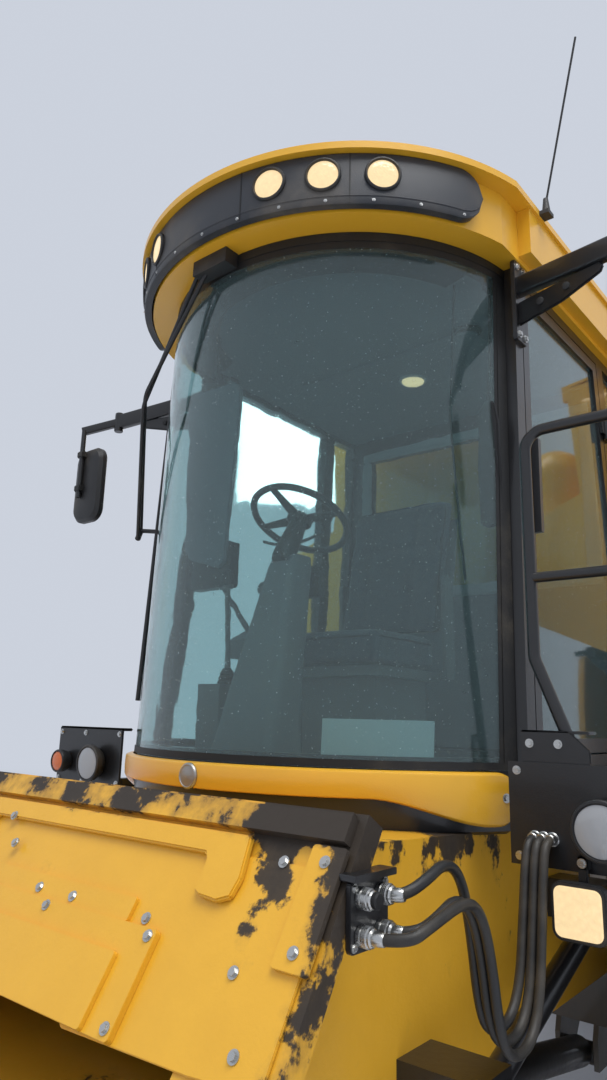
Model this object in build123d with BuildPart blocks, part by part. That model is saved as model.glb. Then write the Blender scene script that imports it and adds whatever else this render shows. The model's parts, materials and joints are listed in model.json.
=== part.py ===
"""Combine harvester, full size, without a header.

Drawn in millimetres with +Z up. The machine's front points to -Y and its left side, where the
door and the ladder are, to +X. Everything is placed from the middle of the front axle on the
ground, and the finished pieces are then moved so that the origin is the bottom centre of the box
around the whole machine.
"""
import os
from math import asin, atan, atan2, cos, degrees, hypot, pi, radians, sin, sqrt

from build123d import *

os.makedirs("parts", exist_ok=True)

# Wheels and axles
wheelbase = 3750
front_tyre_radius = 895
front_tyre_width = 650
front_rim_radius = 406
front_wheel_x = 1310
rear_tyre_radius = 655
rear_tyre_width = 500
rear_rim_radius = 305
rear_wheel_x = 1330
kingpin_x = 1000
running_gap = 0.5
seat_gap = 0.3

# Frame and body
rail_bottom = 1130
rail_top = 1330
rail_x = 580
rail_width = 80
body_half = 800
body_top = 2100
body_rear = 4700

# Feeder house, drawn raised
feeder_pivot_y = -250
feeder_pivot_z = 1430
feeder_casing_radius = 270
feeder_half = 720
feeder_wall = 12
feeder_top_y = -1985
feeder_top_z = 1775
feeder_lip_y = -2385
feeder_lip_z = 1135
face_half = 850

# Cab
cab_floor_z = 1800
glass_low_z = 1920
glass_top_z = 3704
glass_end_y = -1200
glass_low_half = 823
glass_low_bulge = 504
glass_top_half = 759
glass_top_bulge = 674
glass_setback = 189
glass_thickness = 8
cab_side_low = 860
cab_side_top = 800
cab_rear_y = 200
cab_wall = 60
roof_half = 890
roof_bulge = 692
roof_end_y = -1162
roof_rear_y = 300
roof_lip_z = 3907
roof_top_z = 3980
band_inset = 22
door_gap = 6

# Grain tank
tank_front_y = 400
tank_rear_y = 2750
tank_half = 1400
tank_neck_half = 1100
tank_top_z = 3850
tank_wall = 20

# Unloading auger
auger_pivot_x = 1290
auger_pivot_y = 620
auger_z = 3430
auger_radius = 160
auger_length = 5200

# Engine bay, hood and side shields
deck_z = 2500
engine_front_y = 2800
engine_rear_y = 4450
hood_rear_y = 6000
shield_x = 1412
shield_top_z = 2500
shield_thickness = 32
shield_front_y = 950
shield_rear_y = 4690
screen_y = 3520
screen_z = 2840
screen_radius = 290

# Platform and ladder
platform_z = 1900
platform_front_y = -1350
platform_rear_y = 300
platform_inner_x = 905
platform_outer_x = 1500
ladder_width = 350
ladder_reach = 110
ladder_bottom_z = 430
tube_radius = 17

parts = {}


def keep(name, part):
    """Label a finished piece and remember it for the export."""
    part.label = name
    parts[name] = part


def block(x, y, z, mode=Mode.ADD):
    """A box between two values on each axis, in the part being built."""
    with Locations(((x[0] + x[1]) / 2, (y[0] + y[1]) / 2, (z[0] + z[1]) / 2)):
        Box(x[1] - x[0], y[1] - y[0], z[1] - z[0], mode=mode)


def prism_x(x, points, mode=Mode.ADD):
    """An outline of (y, z) points carried from one x to another."""
    with BuildSketch(Plane.YZ.offset(x[0])) as outline:
        with BuildLine():
            Polyline(*points, close=True)
        make_face()
    extrude(outline.sketch, amount=x[1] - x[0], mode=mode)


def prism_y(y, points, mode=Mode.ADD):
    """An outline of (x, z) points carried from one y to another."""
    with BuildSketch(Plane.XZ.offset(-y[1])) as outline:
        with BuildLine():
            Polyline(*points, close=True)
        make_face()
    extrude(outline.sketch, amount=y[1] - y[0], mode=mode)


def prism_z(z, points, mode=Mode.ADD):
    """An outline of (x, y) points carried from one z to another."""
    with BuildSketch(Plane.XY.offset(z[0])) as outline:
        with BuildLine():
            Polyline(*points, close=True)
        make_face()
    extrude(outline.sketch, amount=z[1] - z[0], mode=mode)


def rod(start, end, radius, mode=Mode.ADD):
    """A round bar between two points."""
    run = Vector(*end) - Vector(*start)
    with BuildSketch(Plane(origin=start, z_dir=run)) as section:
        Circle(radius)
    extrude(section.sketch, amount=run.length, mode=mode)


def rail(points, radius, bend):
    """A bent tube through the points, with the same bend at each corner."""
    with BuildLine() as path:
        FilletPolyline(*points, radius=bend)
    with BuildSketch(Plane(origin=path.line @ 0, z_dir=path.line % 0)) as section:
        Circle(radius)
    sweep(section.sketch, path=path.line)


def both_sides(x):
    """A span of x and its mirror image on the other side."""
    return ((x[0], x[1]), (-x[1], -x[0]))


# Tyres: each ring of the carcass is (share of the half width, share of the carcass height)
tyre_rings = (
    (0.77, 0.06),
    (1.00, 0.46),
    (0.96, 0.86),
    (0.84, 1.00),
)
lug_share = 0.055
bead_seat = 4
rim_lip = 26
rim_lip_thickness = 12
rim_band = 14

# axle y, tyre radius, width, rim radius, wheel x, polygon sides, lugs on one side, spindle radius
front_wheel = (0, front_tyre_radius, front_tyre_width, front_rim_radius, front_wheel_x, 36, 18, 60)
rear_wheel = (wheelbase, rear_tyre_radius, rear_tyre_width, rear_rim_radius, rear_wheel_x, 28, 14, 45)
wheels = (
    ("front_left", 1, front_wheel),
    ("front_right", -1, front_wheel),
    ("rear_left", 1, rear_wheel),
    ("rear_right", -1, rear_wheel),
)

for name, side, wheel in wheels:
    axle_y, radius, width, rim_radius, wheel_x, sides, lugs, spindle = wheel
    half = width / 2
    lug_height = radius * lug_share
    carcass = radius - lug_height
    bore = (rim_radius + bead_seat) / cos(pi / sides)
    lug_base = carcass * 0.9
    lug_back = radius * 0.20
    lug_thick = radius * 0.075
    lug_top = sqrt(radius**2 - (lug_back + lug_thick) ** 2)
    bead_half = half * tyre_rings[0][0]

    rings = [(-share, height) for share, height in tyre_rings]
    rings += [(share, height) for share, height in reversed(tyre_rings)]
    ring_faces = []
    for share, height in rings:
        with BuildSketch(Plane.YZ.offset(half * share)) as ring:
            RegularPolygon(bore + (carcass - bore) * height + rim_lip * (1 - height), sides)
        ring_faces.append(ring.sketch)

    with BuildPart() as lug:
        with BuildSketch(Plane.XY.offset(lug_base)) as lug_foot:
            with BuildLine():
                Polyline(
                    (-half * 0.06, -lug_thick),
                    (-half * 0.06, lug_thick * 0.6),
                    (half * 0.99, lug_back + lug_thick),
                    (half * 0.99, lug_back - lug_thick),
                    close=True,
                )
            make_face()
        extrude(amount=lug_top - lug_base)

    # One lug corner stands straight below the axle, so the tyre's lowest point is its radius
    lowest = 180 + degrees(atan2(lug_back + lug_thick, lug_top))
    pitch = 360 / lugs
    turns = [Location((0, 0, 0), (lowest + pitch * n, 0, 0)) for n in range(lugs)]
    turns += [Location((0, 0, 0), (lowest + pitch * (n + 0.5), 0, 0)) for n in range(lugs)]

    with BuildPart() as tyre:
        loft(ring_faces, ruled=True)
        with Locations(*turns[:lugs]):
            add(lug.part)
        with Locations(*turns[lugs:]):
            add(mirror(lug.part, about=Plane.YZ, mode=Mode.PRIVATE))
        with BuildSketch(Plane.YZ.offset(-half)) as bore_face:
            RegularPolygon(bore, sides)
        extrude(bore_face.sketch, amount=width, mode=Mode.SUBTRACT)
    keep("tyre_" + name, tyre.part.moved(Location((side * wheel_x, axle_y, 0))))

    # The rim's profile holds (distance outboard from the tyre's middle, radius) points
    band_low = rim_radius - rim_band
    lip_out = bead_half + rim_lip_thickness
    flange = -half * 0.40
    dish = -half * 0.12
    hub_radius = rim_radius * 0.42
    band_profile = (
        (-lip_out, band_low),
        (-lip_out, rim_radius + rim_lip),
        (-bead_half, rim_radius + rim_lip),
        (-bead_half, rim_radius),
        (bead_half, rim_radius),
        (bead_half, rim_radius + rim_lip),
        (lip_out, rim_radius + rim_lip),
        (lip_out, band_low),
    )
    disc_profile = (
        (dish - 14, band_low + 2),
        (dish + 14, band_low + 2),
        (flange + 24, hub_radius + 30),
        (flange + 24, spindle + running_gap),
        (flange, spindle + running_gap),
        (flange, hub_radius + 30),
    )
    hub_profile = (
        (flange + 20, spindle + running_gap),
        (flange + 20, hub_radius * 0.8),
        (half * 0.10, hub_radius * 0.62),
        (half * 0.16, hub_radius * 0.50),
        (half * 0.16, 0),
        (half * 0.10, 0),
        (half * 0.10, spindle + running_gap),
    )
    with BuildPart() as rim:
        for profile in (band_profile, disc_profile, hub_profile):
            with BuildSketch(Plane.XY) as rim_face:
                with BuildLine():
                    Polyline(*[(side * x, r) for x, r in profile], close=True)
                make_face()
            revolve(rim_face.sketch, axis=Axis.X)
    keep("rim_" + name, rim.part.moved(Location((side * wheel_x, axle_y, radius))))
    parts["tyre_" + name] = parts["tyre_" + name].moved(Location((0, 0, radius)))
    parts["tyre_" + name].label = "tyre_" + name

# Front axle: a box beam with a final drive at each end that drops to the wheel's spindle
axle_half = 125
beam_low = rail_bottom - 200
drive_x = 985
drive_in = body_half + 30
front_flange_x = front_wheel_x - front_tyre_width / 2 * 0.40
spindle_end_x = front_wheel_x + front_tyre_width / 2 * 0.10
barrel_pin_x = 550
barrel_pin_y = -100
barrel_pin_z = 820
lift_pin_radius = 22
lift_pin_y = -1500
lift_pin_z = 1075

with BuildPart() as front_axle:
    block((-drive_in, drive_in), (-axle_half, axle_half), (beam_low, rail_bottom))
    for side in (-1, 1):
        with BuildSketch(Plane.YZ.offset(side * drive_in)) as drive_face:
            with Locations((0, (beam_low + rail_bottom) / 2)):
                Circle(175)
            with Locations((0, front_tyre_radius)):
                Circle(215)
            make_hull()
        extrude(drive_face.sketch, amount=side * (drive_x + 15 - drive_in))
        tip = side * (front_flange_x - running_gap)
        rod((side * drive_x, 0, front_tyre_radius), (tip, 0, front_tyre_radius), 165)
        rod((tip, 0, front_tyre_radius), (side * (spindle_end_x - 5), 0, front_tyre_radius), 60)
        for plate_x in (barrel_pin_x - 84, barrel_pin_x + 64):
            for span in both_sides((plate_x, plate_x + 20)):
                if span[0] * side > 0:
                    prism_x(
                        span,
                        (
                            (barrel_pin_y - 45, barrel_pin_z - 45),
                            (barrel_pin_y - 45, barrel_pin_z + 60),
                            (-axle_half, beam_low),
                            (axle_half, beam_low),
                            (barrel_pin_y + 90, barrel_pin_z - 45),
                        ),
                    )
        pin_from = (side * (barrel_pin_x - 84), barrel_pin_y, barrel_pin_z)
        rod(pin_from, (side * (barrel_pin_x + 84), barrel_pin_y, barrel_pin_z), lift_pin_radius)
keep("front_axle", front_axle.part)

# Rear axle: an oscillating beam under the frame with a yoke for the kingpin at each end
rear_beam_top = 860
rear_beam_low = 700
yoke_low = 450
ear = 40
tow_pin_y = 285
knuckle_radius = 50
kingpin_radius = 25
arm_z = 560
arm_thickness = 30

with BuildPart() as rear_axle:
    block((-900, 900), (wheelbase - 75, wheelbase + 75), (rear_beam_low, rear_beam_top))
    for side in (-1, 1):
        for span in both_sides((kingpin_x - 100, kingpin_x - 60)):
            if span[0] * side > 0:
                block(span, (wheelbase - 60, wheelbase + 60), (yoke_low, rear_beam_top))
                arm_gap = (arm_z - 15, arm_z + arm_thickness + 15)
                block(span, (wheelbase - 10, wheelbase + 61), arm_gap, mode=Mode.SUBTRACT)
        for span in both_sides((kingpin_x - 80, kingpin_x + 50)):
            if span[0] * side > 0:
                block(span, (wheelbase - 55, wheelbase + 55), (rear_beam_top - ear, rear_beam_top))
                block(span, (wheelbase - 55, wheelbase + 55), (yoke_low, yoke_low + ear))
        foot = (side * kingpin_x, wheelbase, yoke_low + 5)
        rod(foot, (side * kingpin_x, wheelbase, rear_beam_top - 5), kingpin_radius)
    block((-110, 110), (wheelbase - 90, wheelbase + 90), (rear_beam_top - 20, rail_bottom))
    block((-90, 90), (wheelbase + 60, wheelbase + 350), (rear_beam_low, rear_beam_low + 45))
    with Locations((0, wheelbase + tow_pin_y, rear_beam_low)):
        Cylinder(16, 200, mode=Mode.SUBTRACT)
keep("rear_axle", rear_axle.part)

# Knuckles: a sleeve on the kingpin, the wheel's spindle and a steering arm behind it
arm_y = 220
arm_x = kingpin_x - 15
rear_flange_x = rear_wheel_x - rear_tyre_width / 2 * 0.40
rear_spindle_end = rear_wheel_x + rear_tyre_width / 2 * 0.10
sleeve_low = yoke_low + ear + running_gap
sleeve_top = rear_beam_top - ear - running_gap

for name, side in (("left", 1), ("right", -1)):
    with BuildPart() as knuckle:
        pin = (side * kingpin_x, wheelbase)
        rod((*pin, sleeve_low), (*pin, sleeve_top), knuckle_radius)
        hub_z = rear_tyre_radius
        tip = side * (rear_flange_x - running_gap)
        rod((side * kingpin_x, wheelbase, hub_z), (tip, wheelbase, hub_z), 48)
        rod((side * (kingpin_x + 110), wheelbase, hub_z), (tip, wheelbase, hub_z), 95)
        rod((tip, wheelbase, hub_z), (side * (rear_spindle_end - 5), wheelbase, hub_z), 45)
        with BuildSketch(Plane.XY.offset(arm_z)) as arm:
            with Locations(pin):
                Circle(48)
            with Locations((side * arm_x, wheelbase + arm_y)):
                Circle(32)
            make_hull()
        extrude(arm.sketch, amount=arm_thickness)
        rod((*pin, sleeve_low - 1), (*pin, sleeve_top + 1), kingpin_radius + running_gap, mode=Mode.SUBTRACT)
    keep("knuckle_" + name, knuckle.part)

# Tie rod: a bar behind the axle that hangs under the two steering arms
tie_z = arm_z - 45
with BuildPart() as tie_rod:
    rod((-arm_x, wheelbase + arm_y, tie_z), (arm_x, wheelbase + arm_y, tie_z), 18)
    for side in (-1, 1):
        end = (side * arm_x, wheelbase + arm_y)
        rod((*end, tie_z - 26), (*end, arm_z - running_gap), 28)
keep("tie_rod", tie_rod.part)

# Frame: two rails and their cross members
rail_front = 60
rail_rear = 4640
with BuildPart() as chassis_frame:
    for span in both_sides((rail_x - rail_width / 2, rail_x + rail_width / 2)):
        block(span, (rail_front, rail_rear), (rail_bottom, rail_top))
    for cross_y, depth in ((205, 80), (3400, 80), (wheelbase, 200), (rail_rear - 50, 80)):
        span = (cross_y - depth / 2, cross_y + depth / 2)
        block((-rail_x, rail_x), span, (rail_bottom, rail_top))
keep("chassis_frame", chassis_frame.part)

# Threshing body: the closed body with an ear on each side that carries the feeder's pivot
body_front = 60
cab_ledge_z = 1780
ear_in = 740
pivot_shaft_radius = 60
with BuildPart() as threshing_body:
    prism_x(
        (-body_half, body_half),
        (
            (body_front, rail_top),
            (body_rear, rail_top),
            (body_rear, body_top),
            (cab_rear_y + 90, body_top),
            (cab_rear_y + 90, cab_ledge_z),
            (body_front, cab_ledge_z),
        ),
    )
    for span in both_sides((ear_in, body_half)):
        prism_x(
            span,
            (
                (body_front, rail_top),
                (body_front, cab_floor_z),
                (-1100, cab_floor_z),
                (-1100, cab_floor_z - 40),
                (feeder_pivot_y - 200, cab_floor_z - 150),
                (feeder_pivot_y - 130, feeder_pivot_z - 110),
                (feeder_pivot_y, feeder_pivot_z - 150),
            ),
        )
    shaft_from = (-body_half - 1, feeder_pivot_y, feeder_pivot_z)
    shaft_to = (body_half + 1, feeder_pivot_y, feeder_pivot_z)
    rod(shaft_from, shaft_to, pivot_shaft_radius + running_gap, mode=Mode.SUBTRACT)
keep("threshing_body", threshing_body.part)

# Cleaning shoe between the rails
shoe_half = rail_x - rail_width / 2 - 10
with BuildPart() as cleaning_shoe:
    prism_x(
        (-shoe_half, shoe_half),
        (
            (350, rail_top),
            (350, 1000),
            (850, 640),
            (2700, 640),
            (3300, 1000),
            (3300, rail_top),
        ),
    )
keep("cleaning_shoe", cleaning_shoe.part)

# Belt drives on both sides of the body: (y, z, radius) of the two pulleys of each drive
drives = (
    ((1150, 1550, 170), (1950, 1850, 230)),
    ((2250, 1500, 140), (3050, 1780, 210)),
    ((3500, 1880, 150), (4250, 1600, 190)),
)
belt = 14
pulley_width = 60
pulley_x = body_half + 60
with BuildPart() as side_drives:
    for side in (-1, 1):
        for pulleys in drives:
            with BuildSketch(Plane.YZ.offset(side * pulley_x)) as loop:
                for y, z, radius in pulleys:
                    with Locations((y, z)):
                        Circle(radius + belt)
                make_hull()
            with BuildSketch(Plane.YZ.offset(side * pulley_x)) as inside:
                for y, z, radius in pulleys:
                    with Locations((y, z)):
                        Circle(radius)
                make_hull()
            extrude(loop.sketch - inside.sketch, amount=side * pulley_width)
            for y, z, radius in pulleys:
                rod((side * pulley_x, y, z), (side * (pulley_x + pulley_width), y, z), radius)
                rod((side * body_half, y, z), (side * (pulley_x + pulley_width + 30), y, z), 35)
keep("side_drives", side_drives.part)

# Feeder house: a channel that pivots in the ears, drawn raised
pivot = (feeder_pivot_y, feeder_pivot_z)
casing_top = (feeder_pivot_y, feeder_pivot_z + feeder_casing_radius)
casing_low = (feeder_pivot_y, feeder_pivot_z - feeder_casing_radius)
with BuildPart() as feeder_housing:
    with BuildSketch(Plane.YZ.offset(-feeder_half)) as outside:
        with BuildLine():
            Polyline(casing_low, (feeder_lip_y, feeder_lip_z), (feeder_top_y, feeder_top_z), casing_top)
            ThreePointArc(casing_top, (pivot[0] + feeder_casing_radius, pivot[1]), casing_low)
        make_face()
    extrude(outside.sketch, amount=2 * feeder_half)
    inner_radius = feeder_casing_radius - feeder_wall
    inner_top = (feeder_pivot_y, feeder_pivot_z + inner_radius)
    inner_low = (feeder_pivot_y, feeder_pivot_z - inner_radius)
    with BuildSketch(Plane.YZ.offset(-feeder_half + feeder_wall)) as inside:
        with BuildLine():
            Polyline(
                inner_low,
                (feeder_lip_y, feeder_lip_z + feeder_wall),
                (feeder_lip_y - 60, feeder_lip_z + feeder_wall),
                (feeder_top_y - 60, feeder_top_z - feeder_wall),
                (feeder_top_y, feeder_top_z - feeder_wall),
                inner_top,
            )
            ThreePointArc(inner_top, (pivot[0] + inner_radius, pivot[1]), inner_low)
        make_face()
    extrude(inside.sketch, amount=2 * (feeder_half - feeder_wall), mode=Mode.SUBTRACT)
    shaft_from = (-body_half - 25, feeder_pivot_y, feeder_pivot_z)
    rod(shaft_from, (body_half + 25, feeder_pivot_y, feeder_pivot_z), pivot_shaft_radius)
    # Lugs underneath for the eyes of the lift cylinders' rods
    lug_top_z = casing_low[1] - 12
    for x in (-barrel_pin_x, barrel_pin_x):
        for plate in ((x - 54, x - 36), (x + 36, x + 54)):
            prism_x(
                plate,
                (
                    (lift_pin_y - 110, lug_top_z),
                    (lift_pin_y + 110, lug_top_z),
                    (lift_pin_y + 45, lift_pin_z - 30),
                    (lift_pin_y - 45, lift_pin_z - 30),
                ),
            )
        rod((x - 54, lift_pin_y, lift_pin_z), (x + 54, lift_pin_y, lift_pin_z), lift_pin_radius)
keep("feeder_housing", feeder_housing.part)

# Face frame: the beam and the posts that the header hangs on, in the leaning plane of the mouth
face_run = hypot(feeder_lip_y - feeder_top_y, feeder_lip_z - feeder_top_z)
face_up_y = (feeder_top_y - feeder_lip_y) / face_run
face_up_z = (feeder_top_z - feeder_lip_z) / face_run
face_plane = Plane(
    origin=(0, feeder_top_y, feeder_top_z),
    x_dir=(1, 0, 0),
    z_dir=(0, -face_up_z, face_up_y),
)
mouth_half = 600
face_depth = 60
with BuildPart() as feeder_face:
    with BuildSketch(face_plane) as frame_face:
        with Locations((0, 25 - face_run / 2)):
            Rectangle(2 * face_half, face_run + 70)
        with Locations((0, -85 - (face_run - 130) / 2)):
            Rectangle(2 * mouth_half, face_run - 130, mode=Mode.SUBTRACT)
    extrude(frame_face.sketch, amount=face_depth)
    with BuildSketch(face_plane.offset(face_depth)) as beam_face:
        with Locations((0, 15)):
            Rectangle(2 * face_half - 40, 60)
    extrude(beam_face.sketch, amount=28)
keep("feeder_face", feeder_face.part)

# Feeder chain: three strands and their slats around the front drum and the rear sprocket
drum_y = feeder_top_y
drum_z = 1395
drum_radius = 120
strand = 22
run_angle = degrees(atan2(drum_z - feeder_pivot_z, drum_y - feeder_pivot_y))
run_length = hypot(drum_z - feeder_pivot_z, drum_y - feeder_pivot_y)
slat_count = 14
with BuildPart() as feeder_chain:
    for strand_x in (-540, 0, 540):
        with BuildSketch(Plane.YZ.offset(strand_x - 20)) as outer_loop:
            for y, z in ((drum_y, drum_z), pivot):
                with Locations((y, z)):
                    Circle(drum_radius + strand)
            make_hull()
        with BuildSketch(Plane.YZ.offset(strand_x - 20)) as inner_loop:
            for y, z in ((drum_y, drum_z), pivot):
                with Locations((y, z)):
                    Circle(drum_radius)
            make_hull()
        extrude(outer_loop.sketch - inner_loop.sketch, amount=40)
    rod((-feeder_half + 40, drum_y, drum_z), (feeder_half - 40, drum_y, drum_z), drum_radius)
    rod((-feeder_half + 13, drum_y, drum_z), (feeder_half - 13, drum_y, drum_z), 30)
    for strand_x in (-540, 0, 540):
        rod((strand_x - 18, *pivot), (strand_x + 18, *pivot), drum_radius)
    rod((-560, *pivot), (560, *pivot), pivot_shaft_radius + 12)
    rod((-600, *pivot), (600, *pivot), pivot_shaft_radius + running_gap / 5, mode=Mode.SUBTRACT)
    slat_low = drum_radius + strand - 2
    for n in range(slat_count):
        reach = run_length * (n % 7 + 0.5) / 7
        side = 1 if n < 7 else -1
        with Locations(Location((0, *pivot), (run_angle, 0, 0))):
            with Locations((0, reach, side * (slat_low + 22))):
                Box(1190, 12, 46)
                with Locations((0, 18, -15)):
                    Box(1190, 36, 8)
keep("feeder_chain", feeder_chain.part)

# Header drive: a driveline down the left side of the feeder to the gearbox at its foot
driveline_x = 880
with BuildPart() as feeder_driveline:
    rod((driveline_x, -726, 1495), (driveline_x, -1560, 1215), 34)
    block((feeder_half, driveline_x + 45), (-775, -655), (1440, 1560))
    block((feeder_half, driveline_x + 55), (-1700, -1540), (1150, 1280))
keep("feeder_driveline", feeder_driveline.part)

# Couplers on the feeder's left side: a plate on the face frame with round quick couplers
coupler_plate = (face_half, face_half + 14)
coupler_end_x = coupler_plate[1] + 34
with BuildPart() as couplers:
    block(coupler_plate, (-2090, -1950), (1600, 1740))
    for y in (-2055, -1985):
        for z in (1635, 1705):
            rod((coupler_plate[1], y, z), (coupler_end_x, y, z), 21)
keep("couplers", couplers.part)

# Lift cylinders: both barrels swing on the front axle, both rods end at the feeder's underside
barrel_radius = 55
lift_rod_radius = 32
lift_run = hypot(lift_pin_y - barrel_pin_y, lift_pin_z - barrel_pin_z)
lift_y = (lift_pin_y - barrel_pin_y) / lift_run
lift_z = (lift_pin_z - barrel_pin_z) / lift_run
barrel_length = 960
eye_play = 12


def on_lift(x, reach):
    """A point on a lift cylinder's centre line, at a distance from its lower pin."""
    return (x, barrel_pin_y + lift_y * reach, barrel_pin_z + lift_z * reach)


with BuildPart() as lift_barrels:
    for x in (-barrel_pin_x, barrel_pin_x):
        rod((x - 60, barrel_pin_y, barrel_pin_z), (x + 60, barrel_pin_y, barrel_pin_z), 40)
        rod(on_lift(x, 35), on_lift(x, barrel_length), barrel_radius)
        bore = lift_rod_radius + running_gap
        rod(on_lift(x, barrel_length / 3), on_lift(x, barrel_length + 1), bore, mode=Mode.SUBTRACT)
        pin_from = (x - 61, barrel_pin_y, barrel_pin_z)
        pin_to = (x + 61, barrel_pin_y, barrel_pin_z)
        rod(pin_from, pin_to, lift_pin_radius + running_gap, mode=Mode.SUBTRACT)
keep("lift_barrels", lift_barrels.part)

with BuildPart() as lift_rods:
    for x in (-barrel_pin_x, barrel_pin_x):
        rod(on_lift(x, 620), on_lift(x, lift_run - 38), lift_rod_radius)
        rod((x - 28, lift_pin_y, lift_pin_z), (x + 28, lift_pin_y, lift_pin_z), 54)
        pin_from = (x - 40, lift_pin_y, lift_pin_z)
        pin_to = (x + 40, lift_pin_y, lift_pin_z)
        rod(pin_from, pin_to, lift_pin_radius + eye_play, mode=Mode.SUBTRACT)
keep("lift_rods", lift_rods.part)

# Cab: the outlines of the glass, the pillars and the roof all come from these arcs and planes


def arc_strip(half, bulge, end_y, z, inset, thick):
    """The plan of a strip between two arcs on one centre, the outer one inset from the given arc."""
    radius = (half**2 + bulge**2) / (2 * bulge)
    drop = radius - bulge
    outer, inner = radius - inset, radius - inset - thick
    outer_half, inner_half = sqrt(outer**2 - drop**2), sqrt(inner**2 - drop**2)
    with BuildSketch(Plane.XY.offset(z)) as strip:
        with BuildLine():
            ThreePointArc((outer_half, end_y), (0, end_y - bulge + inset), (-outer_half, end_y))
            Line((-outer_half, end_y), (-inner_half, end_y))
            ThreePointArc((-inner_half, end_y), (0, end_y - bulge + inset + thick), (inner_half, end_y))
            Line((inner_half, end_y), (outer_half, end_y))
        make_face()
    return strip.sketch


def plan_outline(half, bulge, end_y, rear_y, z, inset=0):
    """A plan with an arc across the front, straight sides and a straight rear."""
    radius = (half**2 + bulge**2) / (2 * bulge)
    drop = radius - bulge
    side = half - inset
    front_half = sqrt((radius - inset) ** 2 - drop**2)
    with BuildSketch(Plane.XY.offset(z)) as plan:
        with BuildLine():
            ThreePointArc((front_half, end_y), (0, end_y - bulge + inset), (-front_half, end_y))
            Polyline(
                (-front_half, end_y),
                (-side, end_y + 70),
                (-side, rear_y - inset),
                (side, rear_y - inset),
                (side, end_y + 70),
                (front_half, end_y),
            )
        make_face()
    return plan.sketch


def bow_plan(half, bulge, end_y, z):
    """The plan between an arc across the front and the straight line that joins its ends."""
    with BuildSketch(Plane.XY.offset(z)) as bow:
        with BuildLine():
            ThreePointArc((half, end_y), (0, end_y - bulge), (-half, end_y))
            Line((-half, end_y), (half, end_y))
        make_face()
    return bow.sketch


side_lean = atan((cab_side_low - cab_side_top) / (glass_top_z - glass_low_z))
side_height = (glass_top_z - glass_low_z) / cos(side_lean)
glass_top_end_y = glass_end_y + glass_setback


def side_plane(side, inset=0):
    """The leaning plane of a cab side: local x runs rearwards on the left and forwards on the right."""
    in_x, in_z = inset * cos(side_lean), inset * sin(side_lean)
    return Plane(
        origin=(side * (cab_side_low - in_x), 0, glass_low_z - in_z),
        x_dir=(0, side, 0),
        z_dir=(side * cos(side_lean), 0, sin(side_lean)),
    )


def side_panel(side, inset, thick, points, mode=Mode.ADD):
    """A flat panel in a cab side, its outline given as (y, height up the side)."""
    with BuildSketch(side_plane(side, inset)) as outline:
        with BuildLine():
            Polyline(*[(side * y, up) for y, up in points], close=True)
        make_face()
    extrude(outline.sketch, amount=-thick, mode=mode)


def pillar_y(up):
    """The front edge of the A pillar at a height up the side."""
    return glass_end_y + glass_setback * up / side_height


def front_edge(points, distance):
    """Points given as heights, set back from the A pillar's front edge."""
    return [(pillar_y(up) + distance, up) for up in points]


floor_half = glass_low_half - 12
floor_bulge = glass_low_bulge - 12
sill = 40
header = side_height - 45
a_pillar = 62
b_pillar = (-145, -65)
c_pillar_y = 120
quarter_low = 420
door_outline = front_edge((sill, header), a_pillar) + [(b_pillar[0], header), (b_pillar[0], sill)]
quarter_outline = [
    (b_pillar[1], quarter_low),
    (b_pillar[1], header),
    (c_pillar_y, header),
    (c_pillar_y, quarter_low),
]

# Door hinge line, in front of the B pillar's outer face
hinge_out = 14
hinge_radius = 14
hinge_pin_radius = 7
hinge_ups = (330, 1390)
hinge_y = b_pillar[0] - door_gap / 2
hinge_up_dir = Vector(-sin(side_lean), 0, cos(side_lean))
hinge_base_x = cab_side_low + hinge_out * cos(side_lean)
hinge_base = Vector(hinge_base_x, hinge_y, glass_low_z + hinge_out * sin(side_lean))


def on_hinge(up):
    """A point on the door's hinge line, at a height up the side."""
    point = hinge_base + hinge_up_dir * up
    return (point.X, point.Y, point.Z)


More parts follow.
